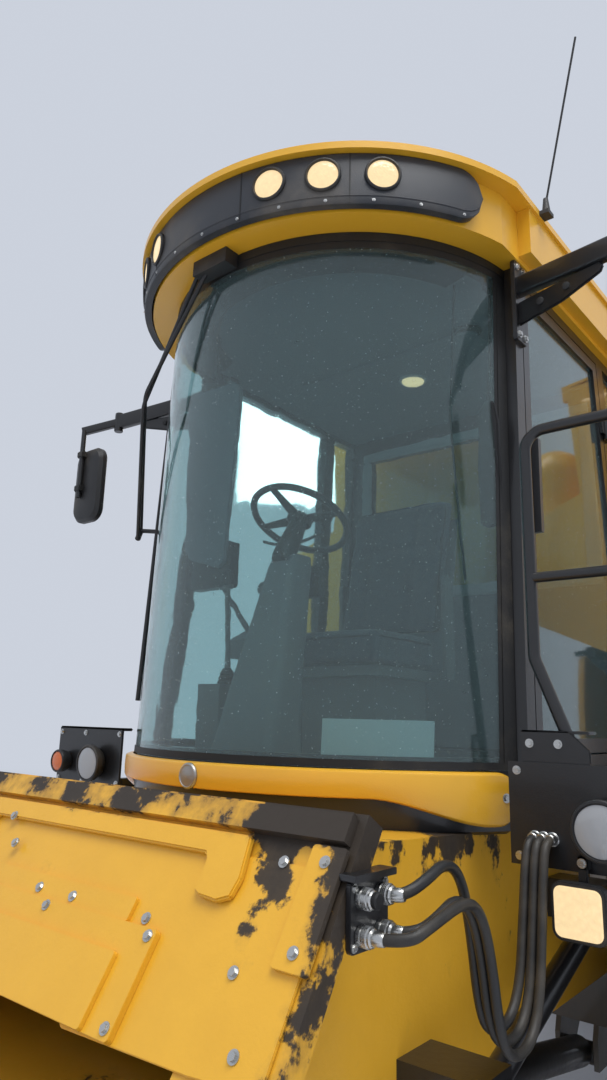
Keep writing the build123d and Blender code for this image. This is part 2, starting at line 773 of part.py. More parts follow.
with BuildPart() as cab_frame:
    side_outline = front_edge((0, side_height), 0) + [(cab_rear_y, side_height), (cab_rear_y, 0)]
    for side in (-1, 1):
        side_panel(side, 0, cab_wall, side_outline)
        side_panel(side, -5, cab_wall + 10, door_outline, mode=Mode.SUBTRACT)
        side_panel(side, -5, cab_wall + 10, quarter_outline, mode=Mode.SUBTRACT)
    rear_outline = (
        (cab_side_low - 5, glass_low_z),
        (cab_side_top - 5, glass_top_z),
        (-cab_side_top + 5, glass_top_z),
        (-cab_side_low + 5, glass_low_z),
    )
    prism_y((cab_rear_y - cab_wall, cab_rear_y), rear_outline)
    block((-620, 620), (cab_rear_y - cab_wall - 5, cab_rear_y + 5), (2750, 3560), mode=Mode.SUBTRACT)
    front_sill = arc_strip(glass_low_half, glass_low_bulge, glass_end_y, glass_low_z, 14, 40)
    extrude(front_sill, amount=35)
    for span in both_sides((glass_low_half - 90, cab_side_low - 30)):
        block(span, (glass_end_y + 6, glass_end_y + 60), (glass_low_z, glass_low_z + 35))
    front_header = arc_strip(glass_top_half, glass_top_bulge, glass_top_end_y, glass_top_z - 45, 22, 45)
    extrude(front_header, amount=45)
    for span in both_sides((glass_top_half - 90, cab_side_top - 25)):
        block(span, (glass_top_end_y, glass_top_end_y + 60), (glass_top_z - 45, glass_top_z))
    # The leaning panels end level with the floor
    whole_cab = ((-2 * cab_side_low, 2 * cab_side_low), (glass_end_y - 10, cab_rear_y + 10))
    block(*whole_cab, (cab_floor_z - 10, glass_low_z), mode=Mode.SUBTRACT)
    # Floor slab whose front follows the glass, and its rubber pads
    extrude(bow_plan(floor_half, floor_bulge, glass_end_y, cab_floor_z), amount=glass_low_z - cab_floor_z)
    floor_side = cab_side_low - 10
    block((-floor_side, floor_side), (glass_end_y, cab_rear_y), (cab_floor_z, glass_low_z))
    for span in both_sides((560, 700)):
        block(span, (body_front + 20, cab_rear_y - 20), (cab_ledge_z, cab_floor_z))
    # Leaf and pin of each door hinge
    for up in hinge_ups:
        leaf_low, leaf_top = up - 22, up - running_gap
        rod(on_hinge(leaf_low), on_hinge(leaf_top), hinge_radius)
        leaf_rear = hinge_y + 50
        leaf = ((hinge_y, leaf_low), (hinge_y, leaf_top), (leaf_rear, leaf_top), (leaf_rear, leaf_low))
        side_panel(1, -hinge_out, hinge_out, leaf)
        rod(on_hinge(up - 10), on_hinge(up + 66), hinge_pin_radius)
keep("cab_frame", cab_frame.part)

# Windshield: one curved sheet between the lower and the upper arc
with BuildPart() as windshield:
    low_z, top_z = glass_low_z + seat_gap, glass_top_z - seat_gap
    low = arc_strip(glass_low_half, glass_low_bulge, glass_end_y - 0.8, low_z, 0, glass_thickness)
    top = arc_strip(glass_top_half, glass_top_bulge, glass_top_end_y - 0.8, top_z, 0, glass_thickness)
    loft([low, top], ruled=True)
keep("windshield", windshield.part)

# Front trim: the lipped strip under the windshield, deeper at its ends, with a bare round boss
trim_half = 850
trim_bulge = 560
trim_mid_z = 1830
trim_end_z = 1700
with BuildPart() as front_trim:
    trim_plan = arc_strip(trim_half, trim_bulge, glass_end_y, trim_end_z, 0, 30)
    extrude(trim_plan, amount=glass_low_z - trim_end_z)
    prism_y(
        (-2000, glass_end_y + 10),
        (
            (-775, trim_end_z - 10),
            (-735, trim_end_z + 75),
            (-600, trim_mid_z),
            (600, trim_mid_z),
            (735, trim_end_z + 75),
            (775, trim_end_z - 10),
        ),
        mode=Mode.SUBTRACT,
    )
    # The shelf that joins the strip to the floor's edge, under the glass
    shelf = bow_plan(trim_half - 10, trim_bulge - 10, glass_end_y, glass_low_z - 20)
    floor_edge = bow_plan(floor_half, floor_bulge, glass_end_y, glass_low_z - 20)
    extrude(shelf - floor_edge, amount=20)
    boss_y = glass_end_y - trim_bulge
    rod((0, boss_y + 8, 1872), (0, boss_y - 8, 1872), 34)
    for span in both_sides((glass_low_half - 22, trim_half - 8)):
        block(span, (glass_end_y - 10, glass_end_y + 60), (trim_end_z + 20, cab_floor_z))
keep("front_trim", front_trim.part)

# Door: a leaning frame in the left side with its glass, hinged behind
door_panel = front_edge((sill + door_gap, header - door_gap), a_pillar + door_gap)
door_panel += [(b_pillar[0] - door_gap, header - door_gap), (b_pillar[0] - door_gap, sill + door_gap)]
door_bar = 48
glass_margin = door_gap + door_bar
door_window = front_edge((sill + glass_margin, header - glass_margin), a_pillar + glass_margin)
door_window += [
    (b_pillar[0] - glass_margin, header - glass_margin),
    (b_pillar[0] - glass_margin, sill + glass_margin),
]
door_thickness = 40

with BuildPart() as cab_door:
    side_panel(1, 0, door_thickness, door_panel)
    side_panel(1, -5, door_thickness + 10, door_window, mode=Mode.SUBTRACT)
    for up in hinge_ups:
        rod(on_hinge(up), on_hinge(up + 70), hinge_radius)
        ear_points = ((hinge_y - 40, up), (hinge_y - 40, up + 70), (hinge_y, up + 70), (hinge_y, up))
        side_panel(1, -hinge_out, hinge_out, ear_points)
        rod(on_hinge(up - 1), on_hinge(up + 71), hinge_pin_radius + running_gap, mode=Mode.SUBTRACT)
    handle_points = front_edge((760, 1100), a_pillar + 22)
    handle_points += [(y + 22, up) for y, up in reversed(handle_points)]
    side_panel(1, -34, 34, handle_points)
keep("cab_door", cab_door.part)

with BuildPart() as door_glass:
    side_panel(1, 12, glass_thickness, door_window)
keep("door_glass", door_glass.part)

# Fixed glass: the right side, both rear quarters and the rear
with BuildPart() as cab_windows:
    side_panel(-1, 20, glass_thickness, door_outline)
    for side in (-1, 1):
        side_panel(side, 20, glass_thickness, quarter_outline)
    block((-620, 620), (cab_rear_y - 30, cab_rear_y - 30 + glass_thickness), (2750, 3560))
keep("cab_windows", cab_windows.part)

# Roof: a core behind the lamp band, an overhanging lip and a low crown
band_low_z = glass_top_z + 6
core_inset = band_inset + 38
crown_inset = 150
with BuildPart() as cab_roof:
    core = plan_outline(roof_half, roof_bulge, roof_end_y, roof_rear_y, glass_top_z, core_inset)
    extrude(core, amount=roof_lip_z - glass_top_z)
    lip = plan_outline(roof_half, roof_bulge, roof_end_y, roof_rear_y, roof_lip_z)
    extrude(lip, amount=26)
    crown_low = plan_outline(roof_half, roof_bulge, roof_end_y, roof_rear_y, roof_lip_z + 26, 12)
    crown_top = plan_outline(roof_half, roof_bulge, roof_end_y, roof_rear_y, roof_top_z, crown_inset)
    loft([crown_low, crown_top], ruled=True)
    for span in both_sides((roof_half - 70, roof_half - 12)):
        block(span, (roof_end_y + 130, roof_rear_y - 20), (glass_top_z + 20, roof_lip_z))
keep("cab_roof", cab_roof.part)

# Lamp band round the roof's front with its pockets, and the six work lamps in them
lamp_z = 3803
lamp_width = 150
lamp_height = 118
lamp_depth = 60
roof_radius = (roof_half**2 + roof_bulge**2) / (2 * roof_bulge)
roof_centre_y = roof_end_y - roof_bulge + roof_radius
lamp_xs = (-670, -490, -300, 300, 490, 670)


def on_roof_arc(x, inset):
    """A plane facing out of the roof's front arc at x, inset from the lip's edge."""
    turn = asin(x / roof_radius)
    reach = roof_radius - inset
    return Plane(
        origin=(reach * sin(turn), roof_centre_y - reach * cos(turn), lamp_z),
        x_dir=(cos(turn), sin(turn), 0),
        z_dir=(sin(turn), -cos(turn), 0),
    )


with BuildPart() as roof_band:
    band_depth = core_inset - band_inset - seat_gap
    band_plan = arc_strip(roof_half, roof_bulge, roof_end_y, band_low_z, band_inset, band_depth)
    extrude(band_plan, amount=roof_lip_z - band_low_z)
    for x in lamp_xs:
        with BuildSketch(on_roof_arc(x, 0)) as pocket:
            Rectangle(lamp_width + 4, lamp_height + 4)
        extrude(pocket.sketch, amount=-lamp_depth - 30, mode=Mode.SUBTRACT)
keep("roof_band", roof_band.part)

with BuildPart() as roof_lamps:
    for x in lamp_xs:
        with BuildSketch(on_roof_arc(x, band_inset - 4)) as lamp:
            RectangleRounded(lamp_width, lamp_height, 22)
        extrude(lamp.sketch, amount=-core_inset + band_inset - 4 + seat_gap)
keep("roof_lamps", roof_lamps.part)

# Antenna: a foot on a bracket at the roof's left edge and a long whip that leans out
antenna_foot = (roof_half + 18, -940, roof_lip_z + 20)
antenna_tip = (roof_half + 190, -1010, 4560)
with BuildPart() as antenna:
    block((roof_half, roof_half + 36), (-965, -915), (roof_lip_z + 4, roof_lip_z + 20))
    with Locations(antenna_foot):
        Cone(16, 9, 60, align=(Align.CENTER, Align.CENTER, Align.MIN))
    rod((antenna_foot[0], antenna_foot[1], antenna_foot[2] + 40), antenna_tip, 4)
keep("antenna", antenna.part)


def on_glass(share, z, out):
    """A point on the windshield's outer face, or out from it. Share runs from 0 at the middle to 1."""
    ends = []
    for half, bulge, end_y in (
        (glass_low_half, glass_low_bulge, glass_end_y),
        (glass_top_half, glass_top_bulge, glass_top_end_y),
    ):
        radius = (half**2 + bulge**2) / (2 * bulge)
        drop = radius - bulge
        turn = share * atan2(half, drop)
        reach = radius + out
        ends.append((reach * sin(turn), end_y + drop - reach * cos(turn)))
    rise = (z - glass_low_z) / (glass_top_z - glass_low_z)
    low, top = ends
    return (low[0] + (top[0] - low[0]) * rise, low[1] + (top[1] - low[1]) * rise, z)


# Wiper: a motor box above the glass, two parallel arms and one long blade on the right half
blade_share = -0.64
carrier = on_glass(blade_share - 0.06, 2818, 95)
arm_root = on_glass(-0.06, glass_top_z - 34, 45)
arm_root_2 = on_glass(-0.12, glass_top_z - 34, 45)
carrier_2 = on_glass(blade_share - 0.03, 2775, 95)
with BuildPart() as wiper:
    glass_front_y = on_glass(0, glass_top_z, 0)[1]
    block((-130, 40), (glass_front_y - 66, glass_front_y - 4), (glass_top_z - 58, glass_top_z))
    rail((arm_root, on_glass(-0.36, 3270, 115), carrier), 8, 150)
    rail((arm_root_2, on_glass(-0.38, 3235, 115), carrier_2), 8, 150)
    rod(carrier_2, carrier, 12)
    rod(on_glass(blade_share, 2800, 12), carrier, 9)
    rod(on_glass(blade_share, 2110, 12), on_glass(blade_share, 3560, 12), 9)
keep("wiper", wiper.part)

# Seat: a boxed pedestal, a cushion and a backrest
seat_front_y = -1080
seat_rear_y = -560
seat_top_z = 2400
back_y = seat_rear_y - 15
back_angle = 12
with BuildPart() as seat_pedestal:
    block((-180, 180), (seat_front_y + 90, seat_rear_y - 60), (glass_low_z, seat_top_z - 160))
    block((-220, 220), (seat_front_y + 40, seat_rear_y - 10), (seat_top_z - 180, seat_top_z - 140))
    for span in both_sides((255, 275)):
        block(span, (seat_rear_y - 60, seat_rear_y + 10), (seat_top_z - 170, seat_top_z + 260))
    block((-275, 275), (seat_rear_y - 20, seat_rear_y + 10), (seat_top_z - 170, seat_top_z - 145))
    # The back's plate, just behind the cushion
    with Locations(Location((0, back_y + seat_gap, seat_top_z + 30), (-back_angle, 0, 0))):
        Box(520, 12, 520, align=(Align.CENTER, Align.MIN, Align.MIN))
keep("seat_pedestal", seat_pedestal.part)

with BuildPart() as seat_cushions:
    block((-240, 240), (seat_front_y, seat_rear_y - 40), (seat_top_z - 139.7, seat_top_z))
    with Locations(Location((0, back_y, seat_top_z + 30), (-back_angle, 0, 0))):
        Box(480, 110, 620, align=(Align.CENTER, Align.MAX, Align.MIN))
keep("seat_cushions", seat_cushions.part)

# Steering column: a broad tapered housing from the floor to a tilted wheel
wheel_z = 2800
wheel_y = -1250
wheel_radius = 200
wheel_tilt = 28
stalk_length = 215
with BuildPart() as steering_column:
    with BuildSketch(Plane.XY.offset(glass_low_z)) as column_foot:
        with Locations((0, -1450)):
            RectangleRounded(300, 190, 30)
    with BuildSketch(Plane.XY.offset(2640)) as column_top:
        with Locations((0, -1290)):
            RectangleRounded(130, 120, 25)
    loft([column_foot.sketch, column_top.sketch])
    wheel_plane = Plane(
        origin=(0, wheel_y, wheel_z),
        x_dir=(1, 0, 0),
        z_dir=(0, sin(radians(wheel_tilt)), cos(radians(wheel_tilt))),
    )
    with BuildSketch(wheel_plane.offset(-12)) as wheel_rim:
        Circle(wheel_radius)
        Circle(wheel_radius - 26, mode=Mode.SUBTRACT)
        Rectangle(2 * wheel_radius - 20, 34)
        Circle(52)
    extrude(wheel_rim.sketch, amount=24)
    with BuildSketch(wheel_plane.offset(-stalk_length)) as stalk:
        Circle(34)
    extrude(stalk.sketch, amount=stalk_length - 8)
keep("steering_column", steering_column.part)

# Console on the right of the seat with its display, and the floor lever ahead of it
with BuildPart() as console:
    block((-540, -310), (-1000, -420), (glass_low_z, 2300))
    prism_x((-520, -320), ((-1080, 2300), (-420, 2300), (-420, 2430), (-980, 2430), (-1080, 2380)))
    rod((-350, -1030, 2390), (-350, -1050, 2560), 12)
    with Locations((-350, -1052, 2590)):
        Sphere(34)
    rod((-480, -1000, 2420), (-560, -1130, 2640), 12)
    block((-690, -450), (-1160, -1125), (2600, 2790))
    block((-430, -310), (-1330, -1220), (glass_low_z, 2180))
    block((-430, -310), (-1230, -990), (glass_low_z, glass_low_z + 12))
    rod((-360, -1240, 2170), (-350, -1276, 2590), 11)
    rod((-350, -1272, 2560), (-350, -1277, 2625), 22)
keep("console", console.part)

# Mirrors: bent tube arms from the roof's front corners and a tall head on each
mirror_x = 1400
mirror_y = -1260
mirror_z = 3190
with BuildPart() as mirrors:
    for side in (-1, 1):
        root = front_edge((1500, 1740), 4)
        side_panel(side, -30, 30, root + [(y + 50, up) for y, up in reversed(root)])
        meet = (side * 1300, mirror_y - 30, 3445)
        tip = (side * 1480, mirror_y - 45, 3405)
        rod((side * 822, -1000, 3620), meet, 19)
        rod((side * 822, -1005, 3470), meet, 16)
        rod(meet, tip, 16)
        rod((side * 1420, mirror_y - 40, 3425), (side * 1420, mirror_y - 38, mirror_z - 60), 13)
        with BuildSketch(Plane.XZ.offset(-mirror_y)) as head:
            with Locations((side * mirror_x, mirror_z)):
                RectangleRounded(210, 390, 70)
        extrude(head.sketch, amount=30, both=True)
keep("mirrors", mirrors.part)

# Platform on the left: deck, toe board, arms to the body, lamp panel and the ladder's hinge post
ladder_axis_x = platform_outer_x + 14
ladder_axis_y = platform_front_y + 42
post_radius = 15
post_low = 1230
with BuildPart() as platform:
    span = (platform_inner_x, platform_outer_x)
    block(span, (platform_front_y + 10, platform_rear_y), (platform_z - 40, platform_z))
    block((cab_side_low + 5, ladder_axis_x - 28), (platform_front_y, platform_front_y + 10), (1690, 1955))
    inner_strip = (cab_side_low + 5, platform_inner_x + 20)
    block(inner_strip, (platform_front_y, -1010), (platform_z - 40, platform_z - 2))
    for y in (-1040, -330, 170):
        prism_y(
            (y - 30, y + 30),
            (
                (body_half, cab_floor_z - 38),
                (body_half, cab_floor_z),
                (cab_side_low + 5, cab_floor_z),
                (cab_side_low + 5, platform_z - 40),
                (platform_outer_x - 20, platform_z - 40),
                (platform_outer_x - 20, platform_z - 70),
                (960, cab_floor_z + 15),
                (900, cab_floor_z - 38),
            ),
        )
    block((1440, ladder_axis_x - 28), (platform_front_y, platform_front_y + 10), (post_low, 1700))
    for z in (post_low, 1850):
        block((1440, ladder_axis_x + 16), (platform_front_y, ladder_axis_y - 5), (z, z + 10))
    rod((ladder_axis_x, ladder_axis_y, post_low), (ladder_axis_x, ladder_axis_y, 1860), post_radius)
keep("platform", platform.part)

# Handrails: bent tubes, each path in its own plane
with BuildPart() as handrails:
    front_y = platform_front_y + 35
    corner_x = platform_outer_x - 30
    foot_z = platform_z
    top_z = 2920
    rail(
        (
            (1050, front_y, foot_z),
            (1050, front_y, 1960),
            (940, front_y, 2240),
            (940, front_y, top_z),
            (corner_x, front_y, top_z),
            (corner_x, front_y, foot_z),
        ),
        tube_radius,
        60,
    )
    rod((940, front_y, 2470), (corner_x, front_y, 2470), tube_radius - 2)
    gate_y = -280
    rear_y = platform_rear_y - 30
    rail(
        (
            (corner_x, gate_y, foot_z),
            (corner_x, gate_y, 2860),
            (corner_x, rear_y, 2860),
            (corner_x, rear_y, foot_z),
        ),
        tube_radius,
        60,
    )
    rod((corner_x, gate_y, 2380), (corner_x, rear_y, 2380), tube_radius - 2)
keep("handrails", handrails.part)

# Ladder: two stringers and five treads on sleeves round the hinge post
ladder_top_z = 1800
ladder_in_x = ladder_axis_x + 2
ladder_first_y = ladder_axis_y + 22
tread_count = 5
tread_rise = 285
with BuildPart() as ladder:
    span = (ladder_in_x, ladder_in_x + ladder_reach)
    for y in (ladder_first_y, ladder_first_y + ladder_width - 8):
        block(span, (y, y + 8), (ladder_bottom_z, ladder_top_z))
    for n in range(tread_count):
        z = ladder_bottom_z + 40 + tread_rise * n
        block(span, (ladder_first_y, ladder_first_y + ladder_width), (z, z + 28))
    for z in (post_low + 20, 1700):
        with Locations((ladder_axis_x, ladder_axis_y, z)):
            Cylinder(post_radius + 9, 90, align=(Align.CENTER, Align.CENTER, Align.MIN))
        block((ladder_axis_x, ladder_in_x + 30), (ladder_axis_y, ladder_first_y + 4), (z, z + 90))
    post = (ladder_axis_x, ladder_axis_y)
    rod((*post, post_low + 5), (*post, ladder_top_z), post_radius + running_gap, mode=Mode.SUBTRACT)
keep("ladder", ladder.part)

# Lamps: the right bracket with its arm, and round lamps given as (x, face y, z, radius)
bracket_y = -1345
work_lamp_x = 1069
head_lamps = (
    (-1015, bracket_y, 1852, 76),
    (-1240, bracket_y, 1850, 50),
    (1127, platform_front_y, 1800, 76),
    (1400, platform_front_y, 1800, 50),
)
with BuildPart() as front_lamps:
    block((-905, -862), (bracket_y + 10, -1000), (1755, 1797))
    block((-905, -body_half), (-1090, -1000), (1765, 1797))
    block((-1320, -862), (bracket_y, bracket_y + 10), (1750, 2000))
    for x, y, z, radius in head_lamps:
        rod((x, y, z), (x, y - 62, z), radius)
    with BuildSketch(Plane.XZ.offset(-platform_front_y + 20)) as work_lamp:
        with Locations((work_lamp_x, 1608)):
            RectangleRounded(136, 136, 24)
    extrude(work_lamp.sketch, amount=70)
    stem = (work_lamp_x - 12, work_lamp_x + 12)
    block(stem, (platform_front_y - 34, platform_front_y - 22), (1660, 1735))
    block(stem, (platform_front_y - 34, platform_front_y), (1700, 1735))
keep("front_lamps", front_lamps.part)

# Grain tank: a hopper on the body, straight walls and a narrower neck, open on top
neck_z = 3250
tank_low_half = 450
shoulder_low = 2600
shoulder_top = 3150
tank_section = (
    (tank_low_half, body_top),
    (tank_half, shoulder_low),
    (tank_half, shoulder_top),
    (tank_neck_half, neck_z),
    (tank_neck_half, tank_top_z),
)
tank_outline = tank_section + tuple((-x, z) for x, z in reversed(tank_section))
inner_section = (
    (tank_low_half, body_top + tank_wall),
    (tank_half - tank_wall, shoulder_low + 12),
    (tank_half - tank_wall, shoulder_top - 14),
    (tank_neck_half - tank_wall, neck_z - 14),
    (tank_neck_half - tank_wall, tank_top_z + 10),
)
tank_inside = inner_section + tuple((-x, z) for x, z in reversed(inner_section))
cover_hinge_x = tank_neck_half + 18
cover_hinge_z = tank_top_z + 14
hinge_rod_radius = 10
hinge_tube_radius = 17
turret_radius = 185
turret_low = shoulder_top - 40
with BuildPart() as grain_tank:
    prism_y((tank_front_y, tank_rear_y), tank_outline)
    turret_foot = (auger_pivot_x, auger_pivot_y)
    rod((*turret_foot, turret_low), (*turret_foot, auger_z - auger_radius - 20), turret_radius)
    web = (auger_pivot_y - 60, auger_pivot_y + 60)
    block((tank_neck_half - 5, auger_pivot_x), web, (turret_low, neck_z))
    prism_y((tank_front_y + tank_wall, tank_rear_y - tank_wall), tank_inside, mode=Mode.SUBTRACT)
    for side in (-1, 1):
        for y in (tank_front_y + 20, (tank_front_y + tank_rear_y) / 2, tank_rear_y - 50):
            for span in both_sides((tank_neck_half - 2, cover_hinge_x + 12)):
                if span[0] * side > 0:
                    block(span, (y, y + 30), (tank_top_z - 60, cover_hinge_z + 12))
        pin = (side * cover_hinge_x, tank_front_y + 30, cover_hinge_z)
        rod(pin, (side * cover_hinge_x, tank_rear_y - 30, cover_hinge_z), hinge_rod_radius)
keep("grain_tank", grain_tank.part)

# Tank covers: two crowned halves on the hinge rods at the top edges
cover_crown = 50
cover_thickness = 16
cover_meet = 6
cover_front_y = tank_front_y + 8
cover_rear_y = tank_rear_y - 8
knuckle_spans = (
    (tank_front_y + 60, (tank_front_y + tank_rear_y) / 2 - 20),
    ((tank_front_y + tank_rear_y) / 2 + 50, tank_rear_y - 60),
)
for name, side in (("left", 1), ("right", -1)):
    with BuildPart() as cover:
        low_z = tank_top_z + 6
        with BuildSketch(Plane.XZ.offset(-cover_rear_y)) as cover_section:
            with BuildLine():
                edge_x, meet_x = side * (tank_neck_half - 6), side * cover_meet
                mid_x = (edge_x + meet_x) / 2
                mid_z, meet_z = low_z + cover_crown * 0.8, low_z + cover_crown
                ThreePointArc((edge_x, low_z), (mid_x, mid_z), (meet_x, meet_z))
                Line((meet_x, meet_z), (meet_x, meet_z + cover_thickness))
                ThreePointArc(
                    (meet_x, meet_z + cover_thickness),
                    (mid_x, mid_z + cover_thickness),
                    (edge_x, low_z + cover_thickness),
                )
                Line((edge_x, low_z + cover_thickness), (edge_x, low_z))
            make_face()
        extrude(cover_section.sketch, amount=cover_rear_y - cover_front_y)
        pin_x = side * cover_hinge_x
        for y_span in knuckle_spans:
            rod((pin_x, y_span[0], cover_hinge_z), (pin_x, y_span[1], cover_hinge_z), hinge_tube_radius)
            for span in both_sides((tank_neck_half - 10, cover_hinge_x)):
                if span[0] * side > 0:
                    block(span, y_span, (low_z + 2, low_z + 14))
            rod(
                (pin_x, y_span[0] - 1, cover_hinge_z),
                (pin_x, y_span[1] + 1, cover_hinge_z),
                hinge_rod_radius + running_gap,
                mode=Mode.SUBTRACT,
            )
    keep("tank_cover_" + name, cover.part)

# Tank augers: a ridged cross auger cover in the hopper and the tube that brings the grain up
with BuildPart() as tank_augers:
    prism_y(
        (tank_front_y + 200, tank_rear_y - 300),
        ((-160, body_top + tank_wall), (0, 2420), (160, body_top + tank_wall)),
    )
    rod((-60, tank_front_y + 900, 2260), (-160, tank_front_y + 900, 3500), 125)
keep("tank_augers", tank_augers.part)

# Unloading auger: an elbow on the turret, a long tube to the rear and its spout
elbow_low = auger_z - auger_radius - 20 + running_gap
auger_end_y = auger_pivot_y + auger_length
with BuildPart() as unloading_auger:
    pivot_foot = (auger_pivot_x, auger_pivot_y)
    rod((*pivot_foot, elbow_low), (*pivot_foot, elbow_low + 30), turret_radius)
    rod((*pivot_foot, elbow_low), (*pivot_foot, auger_z), auger_radius + 8)
    with Locations((*pivot_foot, auger_z)):
        Sphere(auger_radius + 8)
    rod((*pivot_foot, auger_z), (auger_pivot_x, auger_end_y, auger_z), auger_radius)
    for y in (auger_pivot_y + 230, auger_pivot_y + 2400, auger_end_y - 30):
        rod((auger_pivot_x, y, auger_z), (auger_pivot_x, y + 30, auger_z), auger_radius + 14)
    spout_top = Plane(origin=(auger_pivot_x, auger_end_y - 10, auger_z), z_dir=(0, 1, -0.6))
    with BuildSketch(spout_top) as spout_section:
        Circle(auger_radius - 10)
    extrude(spout_section.sketch, amount=330)
keep("unloading_auger", unloading_auger.part)

# Deck frame: edge beams that carry the shields, their brackets, the engine deck and the auger's rest
beam_x = (1310, 1362)
beam_z = (2470, 2530)
beam_rear_y = 4700
bracket_ys = (1020, 2620, 4620)
engine_half = 450
with BuildPart() as deck_frame:
    for span in both_sides(beam_x):
        block(span, (shield_front_y, beam_rear_y), beam_z)
    for y in bracket_ys:
        for side in (-1, 1):
            prism_y(
                (y - 25, y + 25),
                (
                    (side * body_half, 1860),
                    (side * body_half, 2090),
                    (side * (beam_x[0] + 10), beam_z[0] + 20),
                    (side * beam_x[1], beam_z[0]),
                    (side * (beam_x[1] - 30), beam_z[0] - 40),
                ),
            )
    deck_half, well_half = beam_x[0] + 10, engine_half + 15
    block((-deck_half, deck_half), (tank_rear_y + 30, engine_rear_y + 20), (deck_z, deck_z + 25))
    well_y = (tank_rear_y + 200, engine_rear_y - 100)
    block((-well_half, well_half), well_y, (deck_z - 1, deck_z + 30), mode=Mode.SUBTRACT)
    for span in both_sides((beam_x[1] - 4, shield_x + 14)):
        for y in (shield_front_y, 2810, shield_rear_y - 30):
            block(span, (y, y + 30), (shield_top_z - 14, shield_top_z + 14))
    for pin_x in (-shield_x, shield_x):
        pin = (pin_x, shield_front_y + 10, shield_top_z)
        rod(pin, (pin_x, shield_rear_y - 10, shield_top_z), hinge_rod_radius)
    # The rest under the unloading auger: a post and a flat saddle
    saddle_y = 4400
    saddle_top = auger_z - auger_radius - 6
    post = (auger_pivot_x - 30, auger_pivot_x + 30)
    block(post, (saddle_y - 20, saddle_y + 20), (deck_z + 20, saddle_top - 20))
    prism_y(
        (saddle_y - 30, saddle_y + 30),
        (
            (auger_pivot_x - 130, saddle_top),
            (auger_pivot_x + 130, saddle_top),
            (auger_pivot_x + 130, saddle_top - 20),
            (auger_pivot_x, saddle_top - 70),
            (auger_pivot_x - 130, saddle_top - 20),
        ),
    )
keep("deck_frame", deck_frame.part)

# Engine: one plain block on the body, with the radiator slab behind the rotary screen
with BuildPart() as engine:
    block((-engine_half, engine_half), (engine_front_y + 160, engine_rear_y - 110), (body_top, 2980))
    block((-980, -860), (screen_y - 330, screen_y + 330), (deck_z + 25, 3120))
keep("engine", engine.part)

# Engine cover: a hollow hood over the engine, tapering to the rear, with the screen's round hole
cover_top_z = 3380
cover_skin = 25
cover_rows = (
    # y, half width, top z
    (engine_front_y, 1080, cover_top_z),
    (engine_rear_y, 1060, cover_top_z - 180),
)


def hood_section(y, half, low, top, corner, inset=0):
    """An upright section with its two top corners cut, standing on a flat foot."""
    half, top = half - inset, top - inset
    with BuildSketch(Plane.XZ.offset(-y)) as section:
        with BuildLine():
            Polyline(
                (-half, low),
                (-half, top - corner),
                (-half + corner * 0.8, top),
                (half - corner * 0.8, top),
                (half, top - corner),
                (half, low),
                close=True,
            )
        make_face()
    return section.sketch


with BuildPart() as engine_cover:
    loft([hood_section(y, half, deck_z + 25, top, 160) for y, half, top in cover_rows], ruled=True)
    inner = []
    for row, shift in zip(cover_rows, (cover_skin, -cover_skin)):
        y, half, top = row
        inner.append(hood_section(y + shift, half, deck_z + 20, top, 160, cover_skin))
    loft(inner, ruled=True, mode=Mode.SUBTRACT)
    rod((-1200, screen_y, screen_z), (-1000, screen_y, screen_z), screen_radius + 8, mode=Mode.SUBTRACT)
    # Exhaust stack with a turned end
    rod((-600, 4150, 3200), (-600, 4150, 3480), 75)
    rod((-600, 4150, 3470), (-600, 4210, 3620), 55)
keep("engine_cover", engine_cover.part)

# Rotary screen: a shallow drum that turns on a stub in front of the radiator
with BuildPart() as rotary_screen:
    rod((-1130, screen_y, screen_z), (-1040, screen_y, screen_z), screen_radius)
    rod((-1115, screen_y, screen_z), (-1030, screen_y, screen_z), screen_radius - 12, mode=Mode.SUBTRACT)
    rod((-1117, screen_y, screen_z), (-980 - running_gap, screen_y, screen_z), 40)
keep("rotary_screen", rotary_screen.part)

# Rear hood: a shell that follows three sections, open below and to the rear
hood_rows = (
    # y, half width, low z, top z
    (body_rear, 1380, 1510, 3000),
    (5450, 1340, 1510, 2780),
    (hood_rear_y, 1180, 1640, 2380),
)
hood_skin = 25
with BuildPart() as rear_hood:
    loft([hood_section(y, half, low, top, 220) for y, half, low, top in hood_rows], ruled=True)
    hood_rear = hood_rows[2]
    inner_rows = (
        (hood_rows[0][0] + hood_skin, *hood_rows[0][1:]),
        hood_rows[1],
        (hood_rear[0] + 10, *hood_rear[1:]),
    )
    inner = [hood_section(y, half, low - 60, top, 220, hood_skin) for y, half, low, top in inner_rows]
    loft(inner, ruled=True, mode=Mode.SUBTRACT)
    mouth = (body_rear, body_rear + hood_skin + 5)
    block((-body_half, body_half), mouth, (1500, body_top), mode=Mode.SUBTRACT)
    block((-1340, 1340), (4960, 5010), (1510, 1560))
    block((-1310, 1310), (5540, 5590), (1510, 1580))
keep("rear_hood", rear_hood.part)

